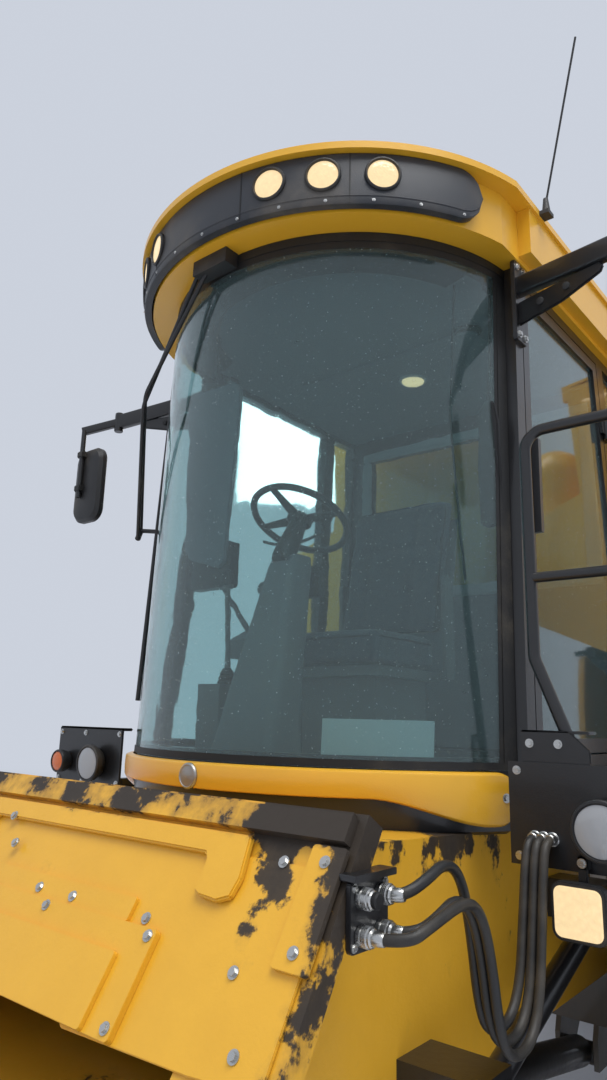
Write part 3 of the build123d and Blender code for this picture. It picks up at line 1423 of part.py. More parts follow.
# Straw chopper: a casing open to the front, below and behind, with a shaft bore at its rotor
chopper_half = 800
chopper_y = 5180
chopper_z = 1190
chopper_radius = 240
chopper_shaft = 35
vane_count = 8
chopper_side = (
    (4740, 1510),
    (5600, 1510),
    (5780, 1330),
    (5560, 950),
    (4960, 900),
    (4740, 1120),
)
with BuildPart() as straw_chopper:
    for span in both_sides((chopper_half - 16, chopper_half)):
        prism_x(span, chopper_side)
    block((-chopper_half, chopper_half), (4960, 5010), (1480, 1510))
    block((-chopper_half, chopper_half), (5540, 5590), (1480, 1510))
    block((-chopper_half, chopper_half), (4740, 4752), (1120, 1400))
    belly = ((4740, 1132), (4740, 1120), (4960, 900), (5200, 905), (5200, 917), (4966, 912))
    prism_x((-chopper_half, chopper_half), belly)
    prism_x((-chopper_half, chopper_half), ((5580, 1484), (5586, 1508), (5780, 1330), (5768, 1322)))
    shaft_from = (-chopper_half - 1, chopper_y, chopper_z)
    shaft_to = (chopper_half + 1, chopper_y, chopper_z)
    rod(shaft_from, shaft_to, chopper_shaft + running_gap, mode=Mode.SUBTRACT)
    # Tail board of the spreader with its guide vanes
    prism_x((-900, 900), ((5762, 1326), (5770, 1342), (6240, 1120), (6234, 1108)))
    for n in range(vane_count):
        vane_x = -840 + 240 * n
        prism_x((vane_x - 4, vane_x + 4), ((5790, 1334), (6230, 1115), (6200, 960), (5850, 1160)))
keep("straw_chopper", straw_chopper.part)

# Chopper rotor: a drum with rows of flail knives on its shaft
with BuildPart() as chopper_rotor:
    rod((-chopper_half + 22, chopper_y, chopper_z), (chopper_half - 22, chopper_y, chopper_z), 90)
    shaft_from = (-chopper_half - 60, chopper_y, chopper_z)
    rod(shaft_from, (chopper_half + 60, chopper_y, chopper_z), chopper_shaft)
    for row in range(4):
        for n in range(9):
            knife_x = -720 + 160 * n + 40 * row
            with Locations(Location((knife_x, chopper_y, chopper_z), (90 * row, 0, 0))):
                Box(10, 50, chopper_radius - 20, align=(Align.CENTER, Align.CENTER, Align.MIN))
keep("chopper_rotor", chopper_rotor.part)

# Side shields: bowed panels hinged along their top edge, shorter over the rear wheels
shield_low = 1180
shield_low_rear = 1420
shield_step_y = 2850
shield_bow = 55
for name, side in (("left", 1), ("right", -1)):
    with BuildPart() as shield:
        top = shield_top_z - 30
        mid = (top + shield_low) / 2
        face_x = shield_x - 6
        with BuildSketch(Plane.XZ.offset(-shield_rear_y)) as shield_section:
            with BuildLine():
                ThreePointArc(
                    (side * face_x, top),
                    (side * (face_x + shield_bow), mid),
                    (side * face_x, shield_low),
                )
                Line((side * face_x, shield_low), (side * (face_x - shield_thickness), shield_low))
                ThreePointArc(
                    (side * (face_x - shield_thickness), shield_low),
                    (side * (face_x + shield_bow - shield_thickness), mid),
                    (side * (face_x - shield_thickness), top),
                )
                Line((side * (face_x - shield_thickness), top), (side * face_x, top))
            make_face()
        extrude(shield_section.sketch, amount=shield_rear_y - shield_front_y)
        cut = both_sides((1300, 1500))[0 if side > 0 else 1]
        prism_x(
            cut,
            (
                (shield_step_y, shield_low - 10),
                (shield_step_y, shield_low_rear - 80),
                (shield_step_y + 120, shield_low_rear),
                (shield_rear_y + 10, shield_low_rear),
                (shield_rear_y + 10, shield_low - 10),
            ),
            mode=Mode.SUBTRACT,
        )
        for y_span in ((shield_front_y + 60, 2780), (2870, shield_rear_y - 60)):
            pin_x = side * shield_x
            rod((pin_x, y_span[0], shield_top_z), (pin_x, y_span[1], shield_top_z), hinge_tube_radius)
            for span in both_sides((face_x - 18, face_x)):
                if span[0] * side > 0:
                    block(span, y_span, (top - 4, shield_top_z - 12))
            rod(
                (pin_x, y_span[0] - 1, shield_top_z),
                (pin_x, y_span[1] + 1, shield_top_z),
                hinge_rod_radius + running_gap,
                mode=Mode.SUBTRACT,
            )
    keep("side_shield_" + name, shield.part)

# Header hoses: from the couplers they run back, hang in a loop beside the feeder and rise to the frame
hose_radius = 12
hose_bend = 36
with BuildPart() as header_hoses:
    for n, start in enumerate(((-1985, 1705), (-1985, 1635), (-2055, 1635))):
        x = coupler_end_x + 37 + 24 * n
        low_z = 1400 - 20 * n
        rail(
            (
                (coupler_end_x, *start),
                (x, *start),
                (x, -1800, start[1] + 15),
                (x, -1690, low_z),
                (x, -1500, low_z),
                (x, -1410, 1760),
                (x, platform_front_y, 1760),
            ),
            hose_radius,
            hose_bend,
        )
keep("header_hoses", header_hoses.part)

# The finished pieces are moved so that the origin is the bottom centre of the whole box
corners = [part.bounding_box() for part in parts.values()]
low_y, high_y = min(box.min.Y for box in corners), max(box.max.Y for box in corners)
low_x, high_x = min(box.min.X for box in corners), max(box.max.X for box in corners)
low_z = min(box.min.Z for box in corners)
centre = (-(low_x + high_x) / 2, -(low_y + high_y) / 2, -low_z)
for name, part in parts.items():
    moved = part.moved(Location(centre))
    moved.label = name
    export_step(moved, "parts/" + name + ".step")
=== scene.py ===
# %% [markdown]
# Combine harvester. A combine is a large machine of painted sheet steel on a steel frame, with a glass cab
# out in front, big lugged tyres and plenty of bolts, slats and wear. The solids give every piece its place
# and size. This notebook gives them their finish, and makes the forms that are too fine for the solids:
# rounded tyre shoulders and lugs, seams, screws, grilles, the seat's cushions and the hoses.

# %% Frame
import json
from math import atan2, cos, pi, radians, sin, sqrt

import bmesh
import bpy
from mathutils import Matrix, Vector


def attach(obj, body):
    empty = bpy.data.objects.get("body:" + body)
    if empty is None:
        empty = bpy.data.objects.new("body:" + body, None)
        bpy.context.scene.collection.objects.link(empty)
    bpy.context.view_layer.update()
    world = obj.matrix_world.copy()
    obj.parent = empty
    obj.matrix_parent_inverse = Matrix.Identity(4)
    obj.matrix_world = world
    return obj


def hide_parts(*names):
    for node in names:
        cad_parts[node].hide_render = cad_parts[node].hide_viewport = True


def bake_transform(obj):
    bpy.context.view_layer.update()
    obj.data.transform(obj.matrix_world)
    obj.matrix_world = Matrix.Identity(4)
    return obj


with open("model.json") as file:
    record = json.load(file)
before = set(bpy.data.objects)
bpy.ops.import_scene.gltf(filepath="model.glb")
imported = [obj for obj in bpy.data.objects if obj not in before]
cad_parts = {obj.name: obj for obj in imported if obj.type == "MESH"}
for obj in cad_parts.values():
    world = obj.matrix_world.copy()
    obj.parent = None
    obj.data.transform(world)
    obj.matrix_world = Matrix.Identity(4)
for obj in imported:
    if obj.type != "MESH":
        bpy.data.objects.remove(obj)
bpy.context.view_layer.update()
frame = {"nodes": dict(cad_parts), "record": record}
nodes = frame["nodes"]
view_settings = bpy.context.scene.view_settings
view_settings.view_transform = "Standard"

# %% [markdown]
# The camera stands by the machine's front left corner, a little above head height, and looks up at the cab.
# The lens is wide, so the near end of the feeder looks large and the cab leans back. Its place, its three
# angles and its lens were worked out once from corners whose real places are known.

# %% Camera
heading = radians(39.724)
lift = radians(13.386)
roll = radians(1.463)
toward = Vector((-sin(heading) * cos(lift), cos(heading) * cos(lift), sin(lift)))
level = Vector((cos(heading), sin(heading), 0))
above = level.cross(toward)
side_axis = cos(roll) * level + sin(roll) * above
up_axis = -sin(roll) * level + cos(roll) * above

CAMERA_PLACE = (1.820, -5.314, 2.049)
LENS = 25.33

camera_data = bpy.data.cameras.new("camera")
camera_data.sensor_fit = "VERTICAL"
camera_data.sensor_height = 36
camera_data.lens = LENS
camera = bpy.data.objects.new("camera", camera_data)
bpy.context.scene.collection.objects.link(camera)
axes = Matrix((side_axis, up_axis, -toward)).transposed().to_4x4()
camera.matrix_world = Matrix.Translation(CAMERA_PLACE) @ axes
bpy.context.scene.camera = camera
print("camera looks", [round(value, 3) for value in toward])

# %% [markdown]
# The drawing of the solids counts millimetres from the middle of the front axle, and the model counts metres
# from the middle of the whole machine's box. One helper turns a place on the drawing into a place here, so
# that every size below can be read against the drawing.

# %% Places
AXLE_SHIFT = -1899.41


def row(x, y, z):
    """A place on the drawing, in metres."""
    return Vector((x, y + AXLE_SHIFT, z)) / 1000


print("front axle at", [round(value, 3) for value in row(0, 0, 895)])

# %% [markdown]
# Three hydraulic hoses feed the header in front. Each is steel-braided rubber 24 mm thick, so it is
# stiff: it leaves its coupler straight, arches over, hangs in a loop beside the feeder and rises to the frame
# under the platform. A NURBS curve led by a handful of control points bends just like that. Its points
# follow the route's points from the drawing, with some added near the bends. The hose becomes a mesh tube,
# and it crosses the joint between the feeder and the frame.

# %% Hoses
HOSE_WIDTH = 0.024
hose_routes = (
    (
        (0.8980, -3.8844, 1.7050),
        (0.9230, -3.8784, 1.7090),
        (0.9390, -3.8244, 1.7310),
        (0.9350, -3.7354, 1.7570),
        (0.9350, -3.6674, 1.7210),
        (0.9350, -3.6274, 1.6125),
        (0.9350, -3.5934, 1.4300),
        (0.9350, -3.5394, 1.3700),
        (0.9350, -3.4394, 1.3700),
        (0.9350, -3.3774, 1.4400),
        (0.9350, -3.3454, 1.5800),
        (0.9350, -3.3174, 1.7160),
        (0.9350, -3.2914, 1.7620),
        (0.9350, -3.2494, 1.7620),
    ),
    (
        (0.8980, -3.8844, 1.6350),
        (0.9470, -3.8784, 1.6390),
        (0.9630, -3.8244, 1.6610),
        (0.9590, -3.7354, 1.6870),
        (0.9590, -3.6674, 1.6510),
        (0.9590, -3.6274, 1.5675),
        (0.9590, -3.5934, 1.4100),
        (0.9590, -3.5394, 1.3500),
        (0.9590, -3.4394, 1.3500),
        (0.9590, -3.3774, 1.4200),
        (0.9590, -3.3454, 1.5700),
        (0.9590, -3.3174, 1.7160),
        (0.9590, -3.2914, 1.7620),
        (0.9590, -3.2494, 1.7620),
    ),
    (
        (0.8980, -3.9544, 1.6350),
        (0.9710, -3.9484, 1.6390),
        (0.9870, -3.8944, 1.6610),
        (0.9830, -3.7354, 1.6870),
        (0.9830, -3.6674, 1.6510),
        (0.9830, -3.6274, 1.5575),
        (0.9830, -3.5934, 1.3900),
        (0.9830, -3.5394, 1.3300),
        (0.9830, -3.4394, 1.3300),
        (0.9830, -3.3774, 1.4000),
        (0.9830, -3.3454, 1.5600),
        (0.9830, -3.3174, 1.7160),
        (0.9830, -3.2914, 1.7620),
        (0.9830, -3.2494, 1.7620),
    ),
)


def spline(name, points, width):
    """A NURBS curve with these control points, as a round tube or, with no width, a bare line."""
    data = bpy.data.curves.new(name, "CURVE")
    data.dimensions = "3D"
    line = data.splines.new("NURBS")
    line.points.add(len(points) - 1)
    for control, point in zip(line.points, points):
        control.co = (*point, 1)
    line.order_u = 3
    line.use_endpoint_u = True
    line.resolution_u = 10
    data.bevel_depth = width / 2
    data.bevel_resolution = 5
    data.use_fill_caps = True
    return bpy.data.objects.new(name, data)


def plain_mesh(thing):
    """The mesh that an object shows, with the object and its own data thrown away."""
    bpy.context.scene.collection.objects.link(thing)
    bpy.context.view_layer.update()
    seen = thing.evaluated_get(bpy.context.evaluated_depsgraph_get())
    mesh = bpy.data.meshes.new_from_object(seen)
    bpy.data.objects.remove(thing)
    return mesh


hoses = []
for number, points in enumerate(hose_routes, 1):
    name = "header_hose_" + str(number)
    followed = [tuple(vertex.co) for vertex in plain_mesh(spline(name + "_line", points, 0)).vertices]
    hose = bpy.data.objects.new(name, plain_mesh(spline(name + "_tube", points, HOSE_WIDTH)))
    bpy.context.scene.collection.objects.link(hose)
    hose.data.shade_smooth()
    length = sum((Vector(b) - Vector(a)).length for a, b in zip(followed, followed[1:]))
    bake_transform(hose)
    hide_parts("header_hoses")
    hoses.append(hose)
    print(name, "length", round(length, 3))

# %% [markdown]
# A finish is easier to read as arithmetic than as a list of nodes and links. This class wraps one output of a
# material's tree: adding, multiplying or subtracting makes the Math node, and one method makes any other.

# %% Arithmetic for materials
class Value:
    """One output in a material's tree, used like a number."""

    def __init__(self, tree, socket):
        self.tree = tree
        self.socket = socket

    def node(self, kind, inputs, out=0, **settings):
        """Any node, with its settings by name and its inputs by name or identifier."""
        made = self.tree.nodes.new(kind)
        for name, setting in settings.items():
            setattr(made, name, setting)
        for name, value in inputs.items():
            socket = next(s for s in made.inputs if name in (s.identifier, s.name))
            feed(self.tree, socket, value)
        return Value(self.tree, made.outputs[out])

    def math(self, operation, *values):
        """A Math node over some values."""
        names = ("Value", "Value_001", "Value_002")
        return self.node("ShaderNodeMath", dict(zip(names, values)), operation=operation)

    def __add__(self, other):
        return self.math("ADD", self, other)

    def __sub__(self, other):
        return self.math("SUBTRACT", self, other)

    def __rsub__(self, other):
        return self.math("SUBTRACT", other, self)

    def __mul__(self, other):
        return self.math("MULTIPLY", self, other)

    __radd__ = __add__
    __rmul__ = __mul__

    def ramp(self, low, high):
        """0 below low, 1 above high and smooth between."""
        inputs = {"Value": self, "From Min": low, "From Max": high}
        return self.node("ShaderNodeMapRange", inputs, interpolation_type="SMOOTHSTEP")

    def stretch(self, x, y, z):
        """Coordinates scaled by a number on each axis."""
        inputs = {"Vector": self, "Vector_001": (x, y, z)}
        return self.node("ShaderNodeVectorMath", inputs, operation="MULTIPLY")

    def noise(self, scale, detail=4.0, rough=0.55):
        """Cloudy noise over these coordinates."""
        inputs = {"Vector": self, "Scale": scale, "Detail": detail, "Roughness": rough}
        return self.node("ShaderNodeTexNoise", inputs)

    def axis(self, letter):
        """One coordinate, X, Y or Z."""
        return self.node("ShaderNodeSeparateXYZ", {"Vector": self}, out="XYZ".index(letter))

    def tint(self, dark, light):
        """The colour between two others that this value picks."""
        inputs = {"Factor_Float": self, "A_Color": dark, "B_Color": light}
        return self.node("ShaderNodeMix", inputs, out=2, data_type="RGBA")


def feed(tree, socket, value):
    """Links a Value to a socket, or sets a plain number or colour on it."""
    if isinstance(value, Value):
        tree.links.new(value.socket, socket)
    elif socket.type == "RGBA" and len(value) == 3:
        socket.default_value = (*value, 1)
    else:
        socket.default_value = value


class Finish:
    """A new material, and the Object coordinates that its patterns are built on."""

    def __init__(self, name, **sockets):
        self.material = bpy.data.materials.new(name)
        self.material.use_nodes = True
        self.tree = self.material.node_tree
        self.shader = self.tree.nodes["Principled BSDF"]
        self.place = Value(self.tree, self.tree.nodes.new("ShaderNodeTexCoord").outputs["Object"])
        self.set(**sockets)

    def set(self, **sockets):
        """Sets sockets of the shader by name, and returns the material."""
        for socket, value in sockets.items():
            feed(self.tree, self.shader.inputs[socket.replace("_", " ")], value)
        return self.material


def plain(name, **sockets):
    """A finish without a pattern."""
    return Finish(name, **sockets).material


def shade(colour, share):
    """A colour made darker or lighter."""
    return tuple(min(1, share * part) for part in colour)


def bumps(place, height, depth, strength=1.0):
    """A normal from a height: depth is the height in metres at value 1."""
    inputs = {"Height": height, "Distance": depth, "Strength": strength}
    return place.node("ShaderNodeBump", inputs)


print("material arithmetic ready")

# %% [markdown]
# Machine paint is one glossy coat that has stood outside for years. Dust and splashes gather low down and in
# vertical runs, the gloss drifts, and the coat has a faint orange peel. One function makes all the paints,
# with the colour, the grime and how high the grime reaches as its choices.

# %% Paints
DUST = (0.33, 0.27, 0.19)
SOIL = (0.085, 0.066, 0.045)


def paint(name, colour, gloss=0.34, grime=0.5, reach=2.6, soil=SOIL):
    """A painted finish; grime reaches up to some height in metres."""
    made = Finish(name, Metallic=0.0, Coat_Weight=0.25, Coat_Roughness=0.12)
    place = made.place
    cloud = place.noise(1.3, 6)
    grain = place.noise(42, 3)
    runs = place.stretch(9, 9, 0.7).noise(1.0, 4)
    height = place.axis("Z")
    low = 1 - height.ramp(0.2, reach)
    dirt = (low * 0.9 + cloud * 0.55 + runs * 0.5 + grain * 0.22 - (1.62 - grime)).ramp(0.0, 0.55)
    drift = cloud.tint(shade(colour, 0.86), shade(colour, 1.08))
    peel = place.noise(260, 2)
    return made.set(
        Base_Color=(dirt * 0.82).tint(drift, soil),
        Roughness=dirt * 0.42 + grain * 0.10 + (gloss - 0.05),
        Normal=bumps(place, peel * 0.25 + grain * 0.4 + dirt * 0.5, 0.0012),
    )


yellow = paint("yellow_paint", (0.80, 0.42, 0.025))
rim_yellow = paint("rim_paint", (0.76, 0.42, 0.05), grime=0.75, reach=3.2)
charcoal = paint("frame_paint", (0.030, 0.031, 0.034), gloss=0.42, grime=0.62, soil=(0.12, 0.105, 0.085))
black_gloss = paint("black_paint", (0.012, 0.012, 0.013), gloss=0.30, grime=0.30, soil=(0.10, 0.095, 0.085))
print("paints", [material.name for material in (yellow, rim_yellow, charcoal, black_gloss)])

# %% Metals, plastics and rubber
def metal(name, colour, rough, grime=0.45, soil=SOIL):
    """Bare or plated metal with brush marks and stains."""
    made = Finish(name, Metallic=1.0)
    place = made.place
    cloud = place.noise(7, 5)
    brush = place.stretch(3, 3, 60).noise(4, 3)
    stain = (cloud * 0.9 + brush * 0.3 - (1.05 - grime)).ramp(0.0, 0.4)
    bright = cloud.tint(shade(colour, 0.8), colour)
    return made.set(
        Base_Color=(stain * 0.7).tint(bright, soil),
        Metallic=1.0 - stain * 0.75,
        Roughness=stain * 0.4 + brush * 0.15 + (rough - 0.05),
        Normal=bumps(place, brush * 0.4 + stain * 0.6, 0.0008),
    )


def plastic(name, colour, rough=0.5, grain_scale=350, dust=0.35):
    """Grained plastic or rubber under a film of dust."""
    made = Finish(name, Specular_IOR_Level=0.45)
    place = made.place
    pebble = place.noise(grain_scale, 3, 0.65)
    cloud = place.noise(4, 5)
    film = (cloud * 1.1 + pebble * 0.2 - (1.0 - dust)).ramp(0.0, 0.5)
    clean = pebble.tint(shade(colour, 0.85), shade(colour, 1.15))
    return made.set(
        Base_Color=(film * 0.35).tint(clean, DUST),
        Roughness=film * 0.25 + pebble * 0.12 + (rough - 0.08),
        Normal=bumps(place, pebble, 0.0006),
    )


steel = metal("worn_steel", (0.46, 0.45, 0.43), 0.38, soil=(0.16, 0.09, 0.05))
galvanised = metal("galvanised", (0.55, 0.56, 0.57), 0.42, grime=0.5, soil=(0.17, 0.14, 0.10))
chrome = metal("chrome", (0.78, 0.78, 0.78), 0.12, grime=0.25)
zinc = metal("zinc", (0.62, 0.62, 0.60), 0.26, grime=0.38, soil=(0.12, 0.11, 0.10))
iron = metal("cast_iron", (0.22, 0.21, 0.20), 0.6, grime=0.7, soil=(0.12, 0.07, 0.04))
black_plastic = plastic("black_plastic", (0.018, 0.018, 0.019), 0.48)
band_plastic = plastic("band_plastic", (0.028, 0.031, 0.037), 0.42, dust=0.42)
grey_plastic = plastic("grey_plastic", (0.16, 0.165, 0.17), 0.55)
gasket = plastic("gasket_rubber", (0.010, 0.010, 0.010), 0.55, 140)
hose_rubber = plastic("hose_rubber", (0.016, 0.016, 0.016), 0.42, 500, dust=0.45)


def tyre_rubber():
    """Black rubber with dried mud in its pores."""
    made = Finish("tyre_rubber", Specular_IOR_Level=0.35)
    place = made.place
    cloud = place.noise(3.2, 6)
    grain = place.noise(90, 4, 0.7)
    mud = (cloud * 1.1 + grain * 0.35 - 0.62).ramp(0.0, 0.5)
    tone = (mud * 0.6).tint((0.018, 0.018, 0.018), (0.16, 0.125, 0.085))
    relief = bumps(place, grain * 0.6 + mud, 0.003)
    return made.set(Base_Color=tone, Roughness=mud * 0.2 + 0.68, Normal=relief)


tyre = tyre_rubber()
print("metals and plastics ready")

# %% [markdown]
# The panes are tinted green-blue right through. Real transmission gives the tint where the light passes, and
# a clear hard surface for the reflections. The glass is a sheet with two faces, so a colour is applied
# twice, and is written paler than the pane looks. The last few percent don't transmit, which is the haze of
# dust.

# %% Glass, lamps and cloth
def glazing(name, colour, rough=0.02):
    """Tinted glass with a film and a few dried drops."""
    made = Finish(name, Transmission_Weight=0.955, IOR=1.45, Specular_IOR_Level=0.5)
    place = made.place
    film = place.stretch(3, 3, 1).noise(1.6, 6)
    drops = place.noise(130, 2).ramp(0.66, 0.74)
    tone = film.tint(shade(colour, 0.94), colour)
    return made.set(Base_Color=tone, Roughness=film * 0.03 + drops * 0.25 + rough)


def glow(name, colour, strength):
    """A lit lens, brighter in its ridges."""
    made = Finish(name, Base_Color=(0.20, 0.15, 0.09), Roughness=0.12, Emission_Strength=strength)
    ridges = made.place.noise(70, 2)
    tone = ridges.tint(shade(colour, 0.75), colour)
    return made.set(Emission_Color=tone, Normal=bumps(made.place, ridges, 0.002))


tinted = glazing("tinted_glass", (0.60, 0.80, 0.80))
lamp_lit = glow("lit_lens", (1.0, 0.76, 0.42), 1.0)
lamp_dark = plain("lens", Base_Color=(0.36, 0.37, 0.38), Roughness=0.08)


def cloth(name, colour):
    """Woven cloth: two waves cross as warp and weft."""
    made = Finish(name, Roughness=0.92, Sheen_Weight=0.35, Sheen_Roughness=0.5)
    place = made.place

    def threads(way):
        inputs = {"Vector": place, "Scale": 240, "Distortion": 0.6}
        return place.node("ShaderNodeTexWave", inputs, wave_type="BANDS", bands_direction=way)

    weave = threads("X") * 0.5 + threads("Z") * 0.5
    cloud = place.noise(6, 5)
    tone = (weave * 0.6 + cloud * 0.4).tint(shade(colour, 0.6), shade(colour, 1.3))
    return made.set(Base_Color=tone, Normal=bumps(place, weave, 0.0007))


seat_cloth = cloth("seat_cloth", (0.045, 0.060, 0.085))
print("glass, lamps and cloth ready")

# %% Each solid gets its finish
finishes = {
    "yellow_paint": yellow,
    "feeder_paint": yellow,
    "dark_paint": black_gloss,
    "frame_paint": charcoal,
    "rim_paint": rim_yellow,
    "body_sheet": galvanised,
    "steel": steel,
    "chrome": chrome,
    "zinc": zinc,
    "iron": iron,
    "tyre": tyre,
    "rubber": hose_rubber,
    "black_plastic": black_plastic,
    "grey_plastic": grey_plastic,
    "band_plastic": band_plastic,
    "lamp": lamp_lit,
    "glass": tinted,
    "cloth": seat_cloth,
}


def coat(node, material):
    """Gives a solid one finish."""
    node.data.materials.clear()
    node.data.materials.append(material)


slot_of = {}
for entry in frame["record"]["materials"]:
    for node in entry.get("nodes", []):
        slot_of[node] = entry["slot"]
for name, node in nodes.items():
    slot = slot_of.get(name)
    if slot is None and node.material_slots:
        slot = node.material_slots[0].name
    coat(node, finishes.get(slot, yellow))
    slot_of[name] = slot
for hose in hoses:
    hose.data.materials.append(hose_rubber)
print("finishes set", sorted(set(map(str, slot_of.values()))))

# %% [markdown]
# Most trim on a machine is folded plate, turned metal or bent tube. Each of these has one helper. A plate is
# an outline drawn on some plane, given a thickness and broken edges, since no real edge is a knife edge. A
# turned part is a profile spun round a line. A tube is the same NURBS curve that makes the hoses. Every
# helper gives a plain mesh with its finish, and one more joins such parts into a piece that rides on a body.

# %% Drawing planes
LEFT, RIGHT = (1, 0, 0), (-1, 0, 0)
REAR, FRONT = (0, 1, 0), (0, -1, 0)
UP, DOWN = (0, 0, 1), (0, 0, -1)
# Where the drawing has the model's own origin, round which a part is drawn before it is repeated.
ORIGIN_Y = -AXLE_SHIFT


def drawing_plane(origin, across, up):
    """Turns (across, up, out) in millimetres on a plane of the drawing into a place in the model."""
    across, up = Vector(across).normalized(), Vector(up).normalized()
    turn = Matrix((across, up, across.cross(up))).transposed()
    return lambda a, b, c: row(*(Vector(origin) + turn @ Vector((a, b, c))))


FACING_FRONT = drawing_plane((0, 0, 0), LEFT, UP)
FACING_LEFT = drawing_plane((0, 0, 0), REAR, UP)
FACING_UP = drawing_plane((0, 0, 0), LEFT, REAR)
# The feeder's face leans back: its upper edge, the way up it and the way out of it.
FACE_TOP = (0, -1985, 1775)
FACE_UP = (0, 0.53, 0.848)
FACE_OUT = (0, -0.848, 0.53)
FEEDER_FACE = drawing_plane(FACE_TOP, LEFT, FACE_UP)
print("feeder face, 100 mm down:", [round(value, 3) for value in FEEDER_FACE(0, -100, 0)])


# %% Plates, turned parts and tubes
def settled(form, material, smooth_angle=34):
    """The finished mesh of a form, facing outwards, smooth except at real edges."""
    bmesh.ops.recalc_face_normals(form, faces=form.faces)
    mesh = bpy.data.meshes.new("part")
    form.to_mesh(mesh)
    form.free()
    mesh.shade_smooth()
    mesh.set_sharp_from_angle(angle=radians(smooth_angle))
    return mesh, material


def plate(plane, outline, low, high, material, edge=2.0):
    """An outline of (across, up) points, solid from one height above its plane to another."""
    form = bmesh.new()
    base = form.faces.new([form.verts.new(plane(a, b, low)) for a, b in outline])
    grown = bmesh.ops.extrude_face_region(form, geom=[base])
    shift = plane(0, 0, high) - plane(0, 0, low)
    lifted = [item for item in grown["geom"] if isinstance(item, bmesh.types.BMVert)]
    bmesh.ops.translate(form, vec=shift, verts=lifted)
    bmesh.ops.recalc_face_normals(form, faces=form.faces)
    if edge:
        rims = form.edges[:]
        bmesh.ops.bevel(form, geom=rims, offset=edge / 1000, segments=2, affect="EDGES", clamp_overlap=True)
    return settled(form, material)


def bar(x, y, z, material, edge=3.0):
    """A plate whose outline is the rectangle between two values on each axis."""
    corners = ((x[0], y[0]), (x[1], y[0]), (x[1], y[1]), (x[0], y[1]))
    return plate(FACING_UP, corners, z[0], z[1], material, edge)


def around(count, radius):
    """Pairs (across, up) evenly spaced on a circle."""
    turns = [2 * pi * n / count for n in range(count)]
    return [(radius * cos(turn), radius * sin(turn)) for turn in turns]


def rounded(width, height, radius, centre=(0, 0), steps=6):
    """The outline of a rectangle with round corners."""
    points = []
    for n in range(4):
        corner = (
            centre[0] + (width / 2 - radius) * (1 if n in (0, 3) else -1),
            centre[1] + (height / 2 - radius) * (1 if n < 2 else -1),
        )
        for k in range(steps + 1):
            turn = pi / 2 * (n + k / steps)
            points.append((corner[0] + radius * cos(turn), corner[1] + radius * sin(turn)))
    return points


def turned(start, aim, profile, material, sides=48):
    """A profile of (distance along, radius) in millimetres, spun round a line.

    A profile that ends where it begins gives a ring.
    """
    start, aim = row(*start), Vector(aim).normalized()
    across = aim.orthogonal().normalized()
    other = aim.cross(across)
    outward = [across * a + other * b for a, b in around(sides, 1)]
    form = bmesh.new()
    rings = []
    for along, radius in profile:
        centre = start + aim * along / 1000
        if radius == 0:
            rings.append([form.verts.new(centre)])
            continue
        rings.append([form.verts.new(centre + way * radius / 1000) for way in outward])
    hollow = profile[0] == profile[-1]
    if hollow:
        bmesh.ops.delete(form, geom=rings.pop(), context="VERTS")
    for first, second in zip(rings, rings[1:] + rings[:1] if hollow else rings[1:]):
        for n in range(sides):
            m = (n + 1) % sides
            pairs = ((first, n), (first, m), (second, m), (second, n))
            corners = [ring[k % len(ring)] for ring, k in pairs]
            form.faces.new(list(dict.fromkeys(corners)))
    for ring in () if hollow else (rings[0], rings[-1]):
        if len(ring) > 1:
            form.faces.new(ring)
    return settled(form, material)


def tube(points, width, material):
    """A bent tube through control points of the drawing, its width in millimetres."""
    mesh = plain_mesh(spline("tube", [row(*point) for point in points], width / 1000))
    mesh.shade_smooth()
    mesh.set_sharp_from_angle(angle=radians(50))
    return mesh, material


def shell(rows, thickness, material):
    """A sheet through rows of points of the drawing, thickened by some millimetres to its back."""
    form = bmesh.new()
    grid = [[form.verts.new(row(*point)) for point in line] for line in rows]
    for low, high in zip(grid, grid[1:]):
        for n in range(len(low) - 1):
            form.faces.new((low[n], low[n + 1], high[n + 1], high[n]))
    form.normal_update()
    bmesh.ops.solidify(form, geom=form.faces[:], thickness=thickness / 1000)
    return settled(form, material)


print("shape helpers ready")

# %% Joining parts into a piece
def join(parts):
    """One mesh out of several, each with its own finish."""
    joined = bmesh.new()
    used = []
    for mesh, material in parts:
        if material not in used:
            used.append(material)
        before = len(joined.faces)
        joined.from_mesh(mesh)
        joined.faces.ensure_lookup_table()
        for face in joined.faces[before:]:
            face.material_index = used.index(material)
    made = bpy.data.meshes.new("joined")
    joined.to_mesh(made)
    joined.free()
    for material in used:
        made.materials.append(material)
    return made


def piece(name, body, parts, replaces=()):
    """Joins parts into one named piece that rides on a body and may stand for solids."""
    thing = bpy.data.objects.new(name, join(parts))
    bpy.context.scene.collection.objects.link(thing)
    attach(thing, body)
    if replaces:
        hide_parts(*replaces)
    print(name, len(thing.data.polygons), "faces")
    return thing


print("join helper ready")

# %% [markdown]
# Bolts, slats, holes, ribs and tyre lugs all repeat. Geometry Nodes suit them: one small mesh goes in, and
# the tree makes count copies, each moved by a step and turned by an angle more than the last. The same tree
# serves a row of slats, with a step and no turn, and a ring of lugs, with a turn and no step.

# %% The repeating tree
def new_tree(name, sockets):
    """A geometry tree with named inputs and one geometry output."""
    tree = bpy.data.node_groups.new(name, "GeometryNodeTree")
    face = tree.interface
    face.new_socket("Geometry", in_out="OUTPUT", socket_type="NodeSocketGeometry")
    face.new_socket("Geometry", in_out="INPUT", socket_type="NodeSocketGeometry")
    for label, kind in sockets:
        face.new_socket(label, in_out="INPUT", socket_type=kind)
    return tree, tree.nodes.new("NodeGroupInput"), tree.nodes.new("NodeGroupOutput")


